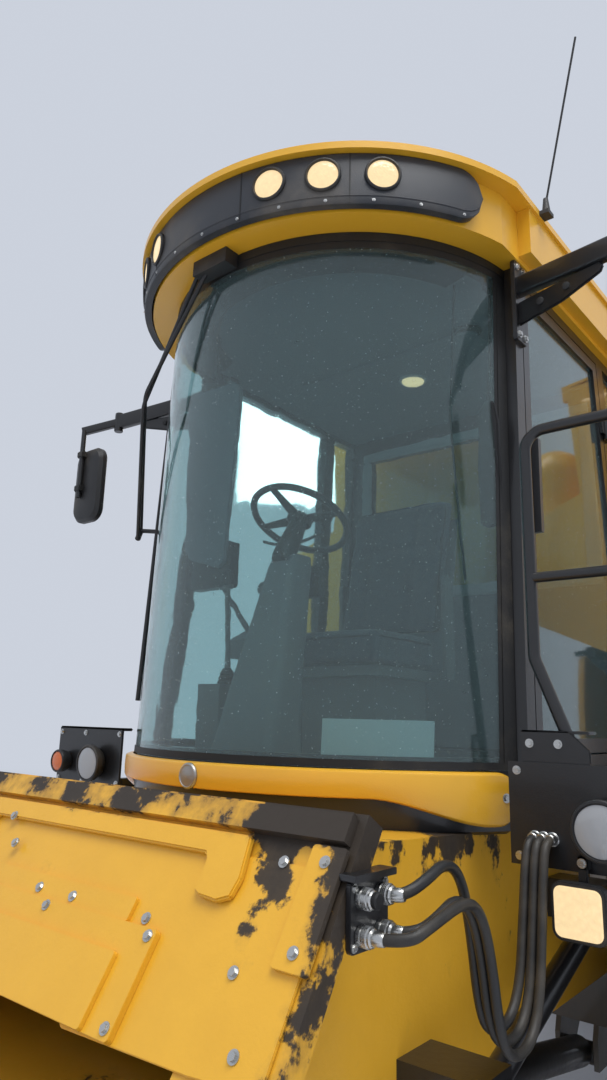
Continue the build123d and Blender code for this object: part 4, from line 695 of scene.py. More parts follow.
def wire(tree, kind, inputs, **settings):
    """A node with its settings, and its inputs linked or set by name or place."""
    made = tree.nodes.new(kind)
    for name, setting in settings.items():
        setattr(made, name, setting)
    for name, value in inputs.items():
        socket = made.inputs[name]
        if isinstance(value, bpy.types.NodeSocket):
            tree.links.new(value, socket)
        else:
            socket.default_value = value
    return made.outputs


def copied(tree, chosen, result, copies):
    """Ends a tree: the copies become real geometry in the chosen finish."""
    real = wire(tree, "GeometryNodeRealizeInstances", {"Geometry": copies})[0]
    coloured = wire(tree, "GeometryNodeSetMaterial", {"Geometry": real, "Material": chosen["Finish"]})[0]
    tree.links.new(coloured, result.inputs[0])


FLOAT, WHOLE, VECTOR = "NodeSocketFloat", "NodeSocketInt", "NodeSocketVector"
FINISH = ("Finish", "NodeSocketMaterial")
repeat, given, result = new_tree(
    "repeat",
    (("Count", WHOLE), ("Centre", VECTOR), ("Step", VECTOR), ("Start", VECTOR), ("Turn", VECTOR), FINISH),
)
chosen = given.outputs
number = wire(repeat, "GeometryNodeInputIndex", {})["Index"]


def numbered(way, start):
    """A start, plus one way for each copy so far."""
    inputs = {0: chosen[way], "Scale": number}
    far = wire(repeat, "ShaderNodeVectorMath", inputs, operation="SCALE")["Vector"]
    return wire(repeat, "ShaderNodeVectorMath", {0: far, 1: chosen[start]}, operation="ADD")["Vector"]


placed = numbered("Step", "Centre")
points = wire(repeat, "GeometryNodePoints", {"Count": chosen["Count"], "Position": placed})[0]
instancing = {"Points": points, "Instance": chosen["Geometry"], "Rotation": numbered("Turn", "Start")}
copied(repeat, chosen, result, wire(repeat, "GeometryNodeInstanceOnPoints", instancing)[0])


def grown(mesh, tree, **inputs):
    """What a geometry tree makes of a mesh, as a plain mesh."""
    thing = bpy.data.objects.new("grown", mesh)
    modifier = thing.modifiers.new("grown", "NODES")
    modifier.node_group = tree
    given = [item for item in tree.interface.items_tree if item.in_out == "INPUT"]
    identifiers = {item.name: item.identifier for item in given}
    for label, value in inputs.items():
        modifier[identifiers[label]] = value
    return plain_mesh(thing)


def repeated(part, count, centre=(0, 0, 0), step=(0, 0, 0), start=(0, 0, 0), turn=(0, 0, 0)):
    """Copies of a part drawn round the origin, in metres and degrees."""
    mesh, material = part
    angles = {"Start": [radians(a) for a in start], "Turn": [radians(a) for a in turn]}
    made = grown(mesh, repeat, Count=count, Centre=list(centre), Step=list(step), Finish=material, **angles)
    return made, material


print("repeat tree", len(repeat.nodes), "nodes")

# %% [markdown]
# A bolt head is a hexagon on a washer. The second tree puts one on every point of a mesh, turned to the aim
# that each point carries and spun by a random angle with a fixed seed, because no two bolts stop at the same
# angle.

# %% The bolting tree
bolting, given, result = new_tree("bolting", (("Size", FLOAT), ("Seed", WHOLE), FINISH))
chosen = given.outputs
size = chosen["Size"]


def scaled(value, share):
    """A share of one of the tree's values."""
    return wire(bolting, "ShaderNodeMath", {0: value, 1: share}, operation="MULTIPLY")[0]


def disc(sides, radius, depth):
    """A short prism for a head or a washer."""
    inputs = {"Vertices": sides, "Radius": radius, "Depth": depth}
    return wire(bolting, "GeometryNodeMeshCylinder", inputs)["Mesh"]


head = disc(6, size, scaled(size, 0.9))
washer = disc(20, scaled(size, 1.5), scaled(size, 0.5))
rise = wire(bolting, "ShaderNodeCombineXYZ", {"Z": scaled(size, 0.45)})[0]
raised = wire(bolting, "GeometryNodeTransform", {"Geometry": head, "Translation": rise})[0]
both = bolting.nodes.new("GeometryNodeJoinGeometry")
bolting.links.new(raised, both.inputs[0])
bolting.links.new(washer, both.inputs[0])
aim = wire(bolting, "GeometryNodeInputNamedAttribute", {"Name": "aim"}, data_type="FLOAT_VECTOR")["Attribute"]
lean = wire(bolting, "FunctionNodeAlignRotationToVector", {"Vector": aim}, axis="Z")[0]
chance = wire(bolting, "FunctionNodeRandomValue", {"Max": 6.28, "Seed": chosen["Seed"]}, data_type="FLOAT")
drawn_angle = next(socket for socket in chance if socket.type == "VALUE" and socket.enabled)
spun = wire(bolting, "ShaderNodeCombineXYZ", {"Z": drawn_angle})[0]
spin = wire(bolting, "FunctionNodeEulerToRotation", {"Euler": spun})[0]
local = {"Rotation": lean, "Rotate By": spin}
turn = wire(bolting, "FunctionNodeRotateRotation", local, rotation_space="LOCAL")[0]
instancing = {"Points": chosen["Geometry"], "Instance": both.outputs[0], "Rotation": turn}
copied(bolting, chosen, result, wire(bolting, "GeometryNodeInstanceOnPoints", instancing)[0])


def bolts(places, aims, size, material, seed=1):
    """Bolt heads of some radius in millimetres at places of the drawing, each pointing along its aim."""
    mesh = bpy.data.meshes.new("bolt_places")
    mesh.from_pydata([row(*place) for place in places], [], [])
    if isinstance(aims[0], (int, float)):
        aims = [aims] * len(places)
    stored = mesh.attributes.new("aim", "FLOAT_VECTOR", "POINT")
    stored.data.foreach_set("vector", [value for one in aims for value in one])
    made = grown(mesh, bolting, Size=size / 1000, Seed=seed, Finish=material)
    return made, material


print("bolting tree", len(bolting.nodes), "nodes")

# %% [markdown]
# The feeder's face is where the header hangs, so its paint is the most worn on the machine: black grease on
# the top edge and round the hooks, brown streaks down its corners and bare metal where the header rubs. The
# paint below is the machine's yellow with those patches laid over it by place.

# %% Worn paint of the feeder's face
made = Finish("face_paint", Coat_Weight=0.12)
place = made.place
cloud = place.noise(5.5, 7, 0.62)
grain = place.noise(48, 4, 0.6)
runs = place.stretch(14, 14, 1.6).noise(1.0, 5)
top_edge = place.axis("Z").ramp(1.768, 1.815)
hook_side = place.axis("X").ramp(0.50, 0.66) * place.axis("Z").ramp(1.60, 1.70)
corner = place.axis("X").ramp(0.74, 0.86)
patches = top_edge * 0.19 + hook_side * 0.17 + corner * 0.12
grease = (cloud * 1.15 + grain * 0.12 + patches + runs * 0.14 - 0.90).ramp(0.0, 0.05)
patches = top_edge * 0.3 + hook_side * 0.14 + corner * 0.16
stain = (cloud * 1.1 + runs * 0.35 + patches - 0.84).ramp(0.0, 0.3)
bare = (runs * 0.9 + place.noise(11, 5) * 0.5 - (0.98 - corner * 0.05)).ramp(0.0, 0.04)
tone = cloud.tint((0.70, 0.36, 0.022), (0.84, 0.45, 0.03))
tone = (stain * 0.75).tint(tone, (0.13, 0.065, 0.025))
tone = (bare * 0.7).tint(tone, (0.36, 0.33, 0.29))
tone = (grease * 0.96).tint(tone, (0.020, 0.016, 0.013))
face_paint = made.set(
    Base_Color=tone,
    Metallic=bare * 0.6,
    Roughness=stain * 0.25 + grain * 0.12 + grease * 0.10 + 0.32,
    Normal=bumps(place, grain * 0.5 + grease * 0.7 + stain * 0.3, 0.0016),
)
for name in ("feeder_face", "feeder_housing"):
    coat(nodes[name], face_paint)
print("face paint set on feeder_face and feeder_housing")

# %% [markdown]
# On the face itself: the closing plate above the mouth, the hook bar whose two claws carry the header, the
# shallow shield box that stands proud, its cover, and the bolts that hold them. All are folded plate.

# %% Feeder face: plate, hooks and shield
def mirrored(half):
    """A whole outline from one half of it, mirrored left to right."""
    return half + tuple((-u, w) for u, w in reversed(half))


def face_place(u, w, out):
    """A place across, up and out from the feeder's face, on the drawing."""
    top, rise, away = FACE_TOP, FACE_UP, FACE_OUT
    return (u, top[1] + rise[1] * w + away[1] * out, top[2] + rise[2] * w + away[2] * out)


mouth_plate = mirrored(((-820, -70), (-820, -470), (-640, -486), (-246, -500), (-200, -470)))
hook_bar = mirrored(
    ((575, -30), (592, -125), (584, -168), (548, -182), (490, -178), (470, -168), (470, -100), (458, -84))
)
face_plates = (
    (mouth_plate, 60.5, 68, 2),
    (hook_bar, 68, 86, 4),
    (rounded(840, 226, 10, (0, -380)), 68, 84, 5),
    (rounded(670, 160, 8, (0, -413)), 84, 96, 4),
    (rounded(604, 56, 6, (0, -240)), 68, 78, 3),
    (rounded(1640, 26, 4, (0, 44)), 60, 72, 3),
    (rounded(90, 250, 8, (795, -150)), 68, 80, 3),
    (rounded(90, 250, 8, (-795, -150)), 68, 80, 3),
)
face_parts = []
for outline, low, high, edge in face_plates:
    face_parts.append(plate(FEEDER_FACE, outline, low, high, face_paint, edge))
for side in (-1, 1):
    lug = [(side * u, w) for u, w in ((690, -560), (690, -640), (740, -668), (800, -640), (800, -560))]
    face_parts.append(plate(FEEDER_FACE, lug, 60, 84, iron, 4))

on_plate, on_strap, on_wing, on_shield, on_lug, on_hook = 68.5, 78, 80, 84, 84, 86
face_bolts = [
    (-367, -81, on_hook),
    (-283, -155, on_hook),
    (-74, -247, on_strap),
    (352, -248, on_plate),
    (399, -284, on_shield),
    (-399, -284, on_shield),
    (-352, -248, on_plate),
    (74, -247, on_strap),
    (-399, -470, on_shield),
    (399, -470, on_shield),
    (0, -284, on_shield),
]
side_bolts = (
    (795, -60, on_wing),
    (795, -240, on_wing),
    (680, -70, on_plate),
    (660, -300, on_plate),
    (735, -430, on_plate),
    (735, -600, on_lug),
)
face_bolts += [(side * u, w, out) for side in (-1, 1) for u, w, out in side_bolts]
places = [face_place(*bolt) for bolt in face_bolts]
face_parts.append(bolts(places, FACE_OUT, 9, zinc, 3))
piece("feeder_face_plates", "feeder", face_parts)

# %% [markdown]
# The header's hydraulics plug into a row of quick couplers on the feeder's left. Each coupler is a turned and
# plated sleeve with a ribbed sliding collar, and a plugged one carries the tapered ferrule of its hose. The
# free one has a rubber cap.

# %% Quick couplers
COUPLER_X = 864
sleeve = (
    (0, 20.5),
    (3, 21),
    (9, 21),
    (9, 18.5),
    (12, 18.5),
    (13, 20.8),
    (25, 20.8),
    (26, 18.5),
    (31, 18.5),
    (34, 16),
    (34, 0),
)
collar_rib = ((0, 20.4), (0.6, 21.5), (1.8, 21.5), (2.4, 20.4))
ferrule = ((-4, 13.5), (0, 14.5), (12, 14.5), (22, 13.2), (24, 12.2), (24, 0))
cap = ((0, 15), (4, 17), (10, 17), (13, 14), (13, 0))
coupler_parts = [
    plate(FACING_LEFT, rounded(136, 136, 12, (-2020, 1670)), 850.2, 863, black_gloss, 2.5),
    plate(FACING_LEFT, rounded(150, 14, 3, (-2020, 1745)), 838, 880, black_gloss, 2),
]
for y in (-2055, -1985):
    for z in (1635, 1705):
        coupler_parts.append(turned((COUPLER_X, y, z), LEFT, sleeve, zinc, 40))
        for n in range(3):
            coupler_parts.append(turned((COUPLER_X + 14.5 + 4 * n, y, z), LEFT, collar_rib, zinc, 40))
sleeve_end = COUPLER_X + sleeve[-1][0]
coupler_parts.append(turned((sleeve_end, -2055, 1705), LEFT, cap, gasket, 32))
corner_places = [(863, y, z) for y in (-2075, -1965) for z in (1615, 1725)]
coupler_parts.append(bolts(corner_places, LEFT, 6, zinc, 5))
piece("quick_couplers", "feeder", coupler_parts, replaces=("couplers",))

plugged = (
    (-1985, 1705, (0.95, 0.22, 0.1)),
    (-1985, 1635, (1, 0.08, 0.05)),
    (-2055, 1635, (1, 0.08, 0.05)),
)
for number, (y, z, aim) in enumerate(plugged, 1):
    part = turned((sleeve_end, y, z), aim, ferrule, zinc, 32)
    piece("hose_ferrule_" + str(number), "feeder", [part])

socket = ((-22, 12.3), (-20, 14), (-2, 15.5), (0, 18), (20, 18), (20, 0))
block_parts = [turned((x, -1352, 1762), REAR, socket, zinc, 32) for x in (935, 959, 983)]
block_parts.append(bar((915, 1003), (-1352, -1300), (1742, 1782), black_gloss, 4))
piece("hose_manifold", "machine", block_parts)

# %% [markdown]
# A drive tyre is rounded at its shoulders and carries a chevron of tall rubber bars. Each bar is thickest at
# its foot, curves backwards from the middle of the tread and runs down over the shoulder. One bar is swept
# here from a few sections and the repeating tree sets the rest round the wheel.

# %% Tyres
def lug_bar(radius, half, side):
    """One tread bar at the top of a wheel, round the origin, for one half of the tread."""
    form = bmesh.new()
    rings = []
    stations = 12
    for n in range(stations + 1):
        t = n / stations
        x = side * half * (-0.05 + 1.035 * min(1, t * 1.12))
        shoulder = max(0.0, t - 0.86) / 0.14
        back = radius * 0.205 * (0.35 * t + 0.65 * t**1.6)
        thick = radius * (0.034 + 0.012 * t)
        top = radius * (0.9985 - 0.012 * t**2 - 0.11 * shoulder**1.5)
        foot = radius * (0.925 - 0.03 * t**3 - 0.09 * shoulder)
        slope = 0.42 * t
        ring = []
        edge = top * 0.985
        section = ((-1.55, foot), (-1.0, edge), (-0.82, top), (0.82, top), (1.0, edge), (1.55, foot))
        for across, height in section:
            y = back + across * thick * (1 + 0.25 * slope)
            reach_up = sqrt(max(height * height - y * y, 0))
            ring.append(form.verts.new(Vector((x * (1 - 0.004 * abs(across)), y, reach_up)) / 1000))
        rings.append(ring)
    for first, second in zip(rings, rings[1:]):
        for k in range(len(first) - 1):
            form.faces.new((first[k], first[k + 1], second[k + 1], second[k]))
        form.faces.new((first[-1], first[0], second[0], second[-1]))
    form.faces.new(rings[0])
    form.faces.new(rings[-1])
    return settled(form, tyre, 40)


# Places on a tyre's side: a share of half its width, and a share of its wall's height.
SIDE_WALL = (
    (0.77, -0.02),
    (0.83, 0.05),
    (0.90, 0.16),
    (0.965, 0.32),
    (0.995, 0.47),
    (0.99, 0.62),
    (0.965, 0.76),
    (0.925, 0.87),
    (0.86, 0.945),
    (0.76, 0.985),
    (0.5, 1.0),
    (0.0, 1.005),
)
LOWEST_BAR = 180 + 14.5


def tyre_parts(axle_y, radius, half, rim_radius, wheel_x, lugs):
    """A tyre's carcass, the rings on its sides and its tread bars."""
    tall = radius * 0.942 - rim_radius
    half_profile = [(share * half, rim_radius + tall * height) for share, height in SIDE_WALL]
    bead = (half * 0.70, rim_radius - 2)
    far_bead = (-bead[0], bead[1])
    far_half = [(-along, r) for along, r in half_profile[:-1]]
    profile = [far_bead] + far_half + [half_profile[-1]] + half_profile[-2::-1] + [bead, far_bead]
    made = [turned((wheel_x, axle_y, radius), LEFT, profile, tyre, 96)]
    for share, height in ((0.90, 0.16), (0.985, 0.40)):
        for side in (-1, 1):
            start = (wheel_x + side * share * half - 4, axle_y, radius)
            r = rim_radius + tall * height
            ring = ((0, r - 6), (0, r + 3), (4 + side * 2.5, r + 6), (8, r + 3), (8, r - 6), (0, r - 6))
            made.append(turned(start, LEFT, ring, tyre, 96))
    pitch = 360 / lugs
    centre = row(wheel_x, axle_y, radius)
    for side, shift in ((1, 0), (-1, pitch / 2)):
        lug = lug_bar(radius, half, side)
        made.append(repeated(lug, lugs, centre, start=(LOWEST_BAR + shift, 0, 0), turn=(pitch, 0, 0)))
    return made


# Axle's y, tyre's radius and half width, rim's radius, wheel's x, tread bars, bolts, and the bolts' circle as
# a share of the rim.
wheel_sizes = {
    "front": (0, 895, 325, 406, 1310, 20, 12, 0.56),
    "rear": (3750, 655, 250, 305, 1330, 18, 8, 0.6),
}
valve_stem = ((0, 7), (24, 6), (26, 4.5), (44, 4.5), (45, 6), (58, 6), (60, 4), (60, 0))
VALVE_TURN = 2.2
for place_name, sizes in wheel_sizes.items():
    axle_y, radius, half, rim_radius, wheel_x, lugs, bolt_count, bolt_share = sizes
    for side_name, side in (("left", 1), ("right", -1)):
        label = place_name + "_" + side_name
        parts = tyre_parts(axle_y, radius, half, rim_radius, side * wheel_x, lugs)
        piece("tread_tyre_" + label, "wheel_" + label, parts, replaces=("tyre_" + label,))
        aim = (side, 0, 0)
        face = side * (wheel_x - half * 0.40 + 24)
        hub_face = side * (wheel_x + half * 0.16)
        places = [(face, axle_y + a, radius + b) for a, b in around(bolt_count, rim_radius * bolt_share)]
        hub_places = [(hub_face, axle_y + a, radius + b) for a, b in around(6, 18)]
        reach = rim_radius - 34
        valve_x = side * (wheel_x - half * 0.05)
        valve_at = (valve_x, axle_y + reach * cos(VALVE_TURN), radius + reach * sin(VALVE_TURN))
        wheel_parts = [
            bolts(places, aim, 14, zinc, 7),
            bolts(hub_places, aim, 5, zinc, 9),
            turned(valve_at, aim, valve_stem, zinc, 16),
        ]
        piece("wheel_bolts_" + label, "wheel_" + label, wheel_parts)

# %% [markdown]
# The roof ends in a dark plastic band under its lip, and the work lamps are set into it. They are round, with
# a bezel, a bowl and a domed lens, and all of them are lit. Seams part the band, and small screws hold it.

# %% Roof band and its lamps
roof_radius = (890**2 + 692**2) / (2 * 692)
roof_middle = -1162 - 692 + roof_radius
BAND_INSET = 22
BAND_MIDDLE = 3812


def roof_turn(x):
    """The angle of the roof's front arc at x."""
    return x / (roof_radius - BAND_INSET)


def roof_arc(x, z, inset):
    """A place on the roof's front arc at x, set in from the lip's edge."""
    reach = roof_radius - inset
    return (reach * sin(roof_turn(x)), roof_middle - reach * cos(roof_turn(x)), z)


def roof_aim(x, rise=0):
    """The way that the roof's front faces at x."""
    return (sin(roof_turn(x)), -cos(roof_turn(x)), rise)


def tongue(share, start):
    """1 along a strip, and a round end that closes to 0 from a share of its half length on."""
    past = max(0, abs(share) - start) / (1 - start)
    return sqrt(max(0, 1 - past**2))


band_section = (
    (3711, 52),
    (3711, 25),
    (3716, 22),
    (3736, 22),
    (3739, 19),
    (3742, 22),
    (3896, 22),
    (3904, 24),
    (3906, 34),
)
band_rows = []
for z, inset in band_section:
    line = []
    for n in range(-60, 61):
        share = n / 60
        height = BAND_MIDDLE + (z - BAND_MIDDLE) * tongue(share, 0.91)
        line.append(roof_arc(1040 * share, height, inset))
    band_rows.append(line)
band_parts = [shell(band_rows, 3, band_plastic)]
for x in (-560, -330, 170, 560):
    seam = [[roof_arc(x + side * 2.5, z, 20.6) for side in (-1, 1)] for z in (3714, 3902)]
    band_parts.append(shell(seam, 2, gasket))
screw_xs = range(-960, 1000, 160)
screws = [roof_arc(x, 3724, BAND_INSET) for x in screw_xs]
band_parts.append(bolts(screws, [roof_aim(x) for x in screw_xs], 4, zinc, 11))
piece("roof_lamp_band", "machine", band_parts, replaces=("roof_band",))

bezel = ((0, 60), (4, 62), (12, 62), (16, 59), (17, 55), (12, 53), (6, 51), (6, 0))
dome = ((6.5, 52), (9, 51), (12, 40), (13.5, 22), (14, 0))
lamp_parts = []
for x in (-670, -500, -320, 280, 470, 670):
    at, aim = roof_arc(x, 3822, 27), roof_aim(x, -0.05)
    lamp_parts.append(turned(at, aim, bezel, black_plastic, 56))
    lamp_parts.append(turned(at, aim, dome, lamp_lit, 48))
piece("round_roof_lamps", "machine", lamp_parts, replaces=("roof_lamps",))

# %% [markdown]
# Under the windshield runs a yellow strip that follows the glass. It is a pressed band with rounded edges,
# it deepens towards its ends and closes in a tongue, and a round blank boss sits at its middle. Below it the
# cab's floor edge is a plain black skirt.

# %% Strip under the windshield
trim_radius = (850**2 + 560**2) / (2 * 560)
trim_middle = -1200 - 560 + trim_radius


def trim_arc(turn, z, inset):
    """A place on the strip's arc at an angle from its middle, set in by some millimetres."""
    reach = trim_radius - inset
    return (reach * sin(turn), trim_middle - reach * cos(turn), z)


def eased(value, low, high):
    """0 below low, 1 above high and smooth between."""
    t = min(1, max(0, (value - low) / (high - low)))
    return t * t * (3 - 2 * t)


def strip_edges(share):
    """The strip's lower and upper height at a share of its half length."""
    u = abs(share)
    low, high = 1838 - 74 * eased(u, 0.55, 0.92), 1918
    middle = 1846 if u > 0.93 else (low + high) / 2
    closing = tongue(u, 0.93)
    return middle - (middle - low) * closing, middle + (high - middle) * closing


TRIM_TURN = radians(66)
strip_section = (
    (0, 26),
    (0.02, 9),
    (0.06, 2),
    (0.12, 0),
    (0.5, -1.5),
    (0.88, 0),
    (0.94, 2),
    (0.98, 9),
    (1, 26),
)
skirt_section = ((1918, 60), (1900, 48), (1860, 46), (1752, 62), (1742, 80))
strip_rows = []
for share_up, inset in strip_section:
    line = []
    for n in range(-80, 81):
        share = n / 80
        low, high = strip_edges(share)
        line.append(trim_arc(TRIM_TURN * share, low + (high - low) * share_up, inset + 12))
    strip_rows.append(line)
skirt_rows = [[trim_arc(TRIM_TURN * n / 60, z, inset) for n in range(-60, 61)] for z, inset in skirt_section]
trim_parts = [shell(strip_rows, 3, yellow), shell(skirt_rows, 4, black_gloss)]
boss = ((-6, 39), (6, 39), (10, 36), (11, 33), (9, 31), (9, 24), (11, 12), (11.5, 0))
trim_parts.append(turned((0, -1746, 1876), FRONT, boss, steel, 56))
end_turns = [TRIM_TURN * share for share in (-0.95, 0.95)]
end_places = [trim_arc(turn, 1846, 12) for turn in end_turns]
trim_parts.append(bolts(end_places, [(sin(turn), -cos(turn), 0) for turn in end_turns], 9, zinc, 13))
piece("windshield_strip", "machine", trim_parts, replaces=("front_trim",))

# %% [markdown]
# The windshield sits in a black rubber gasket, wide along its sides, and a dark printed edge hides the glue.
# The gasket is a thin strip that follows the same curve as the glass.

# %% Gasket round the windshield
GLASS_LOW, GLASS_TOP = 1920, 3704
# Half width, bulge to the front and y of its ends, at the pane's lower and upper edge.
GLASS_ARCS = ((823, 504, -1200), (759, 674, -1011))


def glass_arc(share, z, out):
    """A place on the windshield's outer face, or out from it, at a share of its half width."""
    ends = []
    for half, bulge, end_y in GLASS_ARCS:
        radius = (half**2 + bulge**2) / (2 * bulge)
        turn = share * (pi / 2 - atan2(radius - bulge, half))
        ends.append(((radius + out) * sin(turn), end_y + radius - bulge - (radius + out) * cos(turn)))
    rise = (z - GLASS_LOW) / (GLASS_TOP - GLASS_LOW)
    low, top = ends
    return (low[0] + (top[0] - low[0]) * rise, low[1] + (top[1] - low[1]) * rise, z)


gasket_parts = []
for side in (-1, 1):
    for wide, out in ((0.955, 3), (0.94, 1)):
        shares = (wide, (wide + 1) / 2, 0.999)
        rows = [[glass_arc(side * share, z, out) for share in shares] for z in range(1922, 3703, 60)]
        gasket_parts.append(shell(rows, 1.6, gasket))
for low, high, out in ((1922, 1944, 3), (3668, 3702, 3), (3640, 3668, 1)):
    rows = [[glass_arc(n / 50, z, out) for n in range(-50, 51)] for z in (low, (low + high) / 2, high)]
    gasket_parts.append(shell(rows, 1.6, gasket))
piece("windshield_gasket", "machine", gasket_parts)

# %% [markdown]
# Inside, the cab is trimmed: a grey headliner with a lit dome lamp and a round vent, an air duct along the
# top of the windshield, pale frames round the rear window and a dark mat. They make the view through the
# glass.

# %% Cab lining
lining = plastic("lining", (0.15, 0.17, 0.19), 0.75, 240, dust=0.2)
pale_lining = plastic("pale_lining", (0.42, 0.45, 0.46), 0.7, 240, dust=0.25)
mat = plastic("floor_mat", (0.025, 0.026, 0.028), 0.8, 160, dust=0.5)


def inside_plan(z, out, wide):
    """The cab's inner outline at a height, set back from the glass and closed at the rear wall."""
    return [glass_arc(n / 24, z, out)[:2] for n in range(-24, 25)] + [(wide, 138), (-wide, 138)]


lining_parts = [
    plate(FACING_UP, inside_plan(3696, -26, 740), 3684, 3702, lining, 4),
    plate(FACING_UP, inside_plan(1928, -30, 790), 1921, 1927, mat, 1),
    plate(FACING_UP, rounded(980, 620, 60, (0, -420)), 3674, 3685, lining, 5),
    plate(FACING_FRONT, rounded(1500, 780, 40, (0, 2330)), -138, -128, lining, 4),
]
duct_section = ((3682, -34), (3650, -40), (3640, -60), (3644, -150), (3682, -176))
duct_rows = [[glass_arc(n / 40, z, out) for n in range(-34, 35)] for z, out in duct_section]
lining_parts.append(shell(duct_rows, 4, black_plastic))
# The vent slits in the duct are near-black bars: painted shade in the openings.
for n in range(15):
    x, y, _ = glass_arc(-0.7 + 0.1 * n, 3641, -105)
    for shift in (-12, 0, 12):
        painted_shade_slit = (x + shift - 3, x + shift + 3)
        lining_parts.append(bar(painted_shade_slit, (y - 22, y + 22), (3638, 3643), gasket, 0))
for low, high in ((2700, 2762), (3548, 3604)):
    lining_parts.append(bar((-680, 680), (118, 137), (low, high), pale_lining, 8))
for low, high in ((-680, -608), (608, 680)):
    lining_parts.append(bar((low, high), (118, 137), (2762, 3548), pale_lining, 8))
vent = ((0, 58), (6, 60), (10, 56), (8, 48), (3, 46), (3, 0))
lamp_ring = ((0, 66), (6, 68), (11, 62), (11, 54))
lamp_dome = ((0, 54), (8, 50), (14, 30), (16, 0))
lining_parts.append(turned((460, -715, 3684), DOWN, vent, black_plastic, 48))
lining_parts.append(turned((34, -463, 3676), DOWN, lamp_ring, pale_lining, 48))
lining_parts.append(turned((34, -463, 3668), DOWN, lamp_dome, lamp_lit, 48))
piece("cab_lining", "machine", lining_parts)

# %% [markdown]
# The operator's place: a tapered column with a thick-rimmed wheel, a column switch box, a lever in its rubber
# boot, the armrest console and its screen, and a mirror and blind by the glass.

# %% Steering column and wheel
def lofted(sections, material):
    """A solid through sections, each a list of as many points of the drawing, closed at both ends."""
    form = bmesh.new()
    rings = [[form.verts.new(row(*point)) for point in section] for section in sections]
    for first, second in zip(rings, rings[1:]):
        for n in range(len(first)):
            m = (n + 1) % len(first)
            form.faces.new((first[n], first[m], second[m], second[n]))
    form.faces.new(rings[0])
    form.faces.new(rings[-1])
    return settled(form, material)


def hoop(centre, aim, radius, thick, material, sides=72, facets=14):
    """A round ring with a round section."""
    aim = Vector(aim).normalized()
    across = aim.orthogonal().normalized()
    other = aim.cross(across)
    form = bmesh.new()
    rings = []
    for a, b in around(sides, 1):
        out = across * a + other * b
        ring = []
        for near, up in around(facets, thick):
            ring.append(form.verts.new(row(*centre) + (out * (radius + near) + aim * up) / 1000))
        rings.append(ring)
    for first, second in zip(rings, rings[1:] + rings[:1]):
        for k in range(facets):
            m = (k + 1) % facets
            form.faces.new((first[k], first[m], second[m], second[k]))
    return settled(form, material, 60)


column_levels = (
    (1928, -1450, 300, 190, 40),
    (2000, -1440, 270, 178, 40),
    (2200, -1400, 226, 160, 38),
    (2420, -1345, 176, 140, 34),
    (2600, -1300, 140, 124, 30),
    (2646, -1288, 118, 108, 28),
)
column_sections = []
for z, y, wide, deep, radius in column_levels:
    column_sections.append([(a, b, z) for a, b in rounded(wide, deep, radius, (0, y), 5)])

WHEEL_MIDDLE = (0, -1250, 2800)
wheel_aim = (0, sin(radians(28)), cos(radians(28)))
wheel_plane = drawing_plane(WHEEL_MIDDLE, LEFT, Vector(wheel_aim).cross(Vector(LEFT)))


def below_wheel(depth):
    """A place on the wheel's shaft, some millimetres under its rim."""
    return (0, WHEEL_MIDDLE[1] - depth * wheel_aim[1], WHEEL_MIDDLE[2] - depth * wheel_aim[2])


SPOKE, SPOKE_HALF = 178, 17
spoke_outline = (
    (0, -SPOKE_HALF * 1.5),
    (0, SPOKE_HALF * 1.5),
    (SPOKE, SPOKE_HALF * 0.8),
    (SPOKE, -SPOKE_HALF * 0.8),
)
hub = ((0, 40), (6, 50), (18, 50), (24, 44), (27, 26), (28, 0))
shroud = ((0, 40), (20, 44), (60, 42), (150, 34), (194, 32), (194, 0))
column_parts = [lofted(column_sections, grey_plastic), hoop(WHEEL_MIDDLE, wheel_aim, 187, 13, black_plastic)]
for across, up in ((-1, 0), (1, 0), (0, -1)):
    spoke = [(a * across - b * up, a * up + b * across) for a, b in spoke_outline]
    column_parts.append(plate(wheel_plane, spoke, -6, 4, black_plastic, 3))
column_parts.append(turned(below_wheel(14), wheel_aim, hub, black_plastic, 40))
column_parts.append(turned(below_wheel(205), wheel_aim, shroud, black_plastic, 32))
for side in (-1, 1):
    stalk = ((side * 36, -1290, 2700), (side * 90, -1290, 2706), (side * 150, -1286, 2726))
    column_parts.append(tube(stalk, 12, black_plastic))
column_parts.append(plate(FACING_FRONT, rounded(170, 120, 18, (0, 2560)), 1196, 1226, black_plastic, 6))
piece(
    "steering_wheel_and_column",
    "machine",
    column_parts,
    replaces=("steering_column",),
)

# %% Console details
LEVER_AIM = (0.02, -0.1, 1)
boot = (
    (0, 44),
    (4, 46),
    (14, 40),
    (20, 42),
    (30, 34),
    (36, 36),
    (48, 27),
    (54, 29),
    (68, 18),
    (74, 14),
    (74, 0),
)
knob = ((0, 12), (8, 24), (40, 27), (60, 22), (68, 12), (70, 0))
push = ((0, 8), (4, 8), (5, 6), (5, 0))
screen_face = plain("screen_face", Base_Color=(0.012, 0.014, 0.016), Roughness=0.12)
control_parts = [
    turned((-360, -1240, 2172), LEVER_AIM, boot, gasket, 36),
    turned((-350, -1276, 2570), LEVER_AIM, knob, black_plastic, 32),
    plate(FACING_FRONT, rounded(250, 200, 16, (-570, 2695)), 1120, 1168, black_plastic, 6),
    plate(FACING_FRONT, rounded(216, 162, 8, (-570, 2700)), 1114, 1121, screen_face, 1),
]
for n in range(4):
    for m in range(3):
        x, y = -505 + 34 * m, -900 + 60 * n
        control_parts.append(bar((x, x + 24), (y, y + 28), (2430, 2438), black_plastic, 3))
for n in range(6):
    control_parts.append(turned((-462 - 36 * n, -1121, 2618), REAR, push, grey_plastic, 20))
blind = (
    (-289, 3378),
    (-300, 3420),
    (-340, 3446),
    (-600, 3456),
    (-628, 3430),
    (-590, 2740),
    (-566, 2700),
    (-372, 2640),
    (-340, 2668),
)
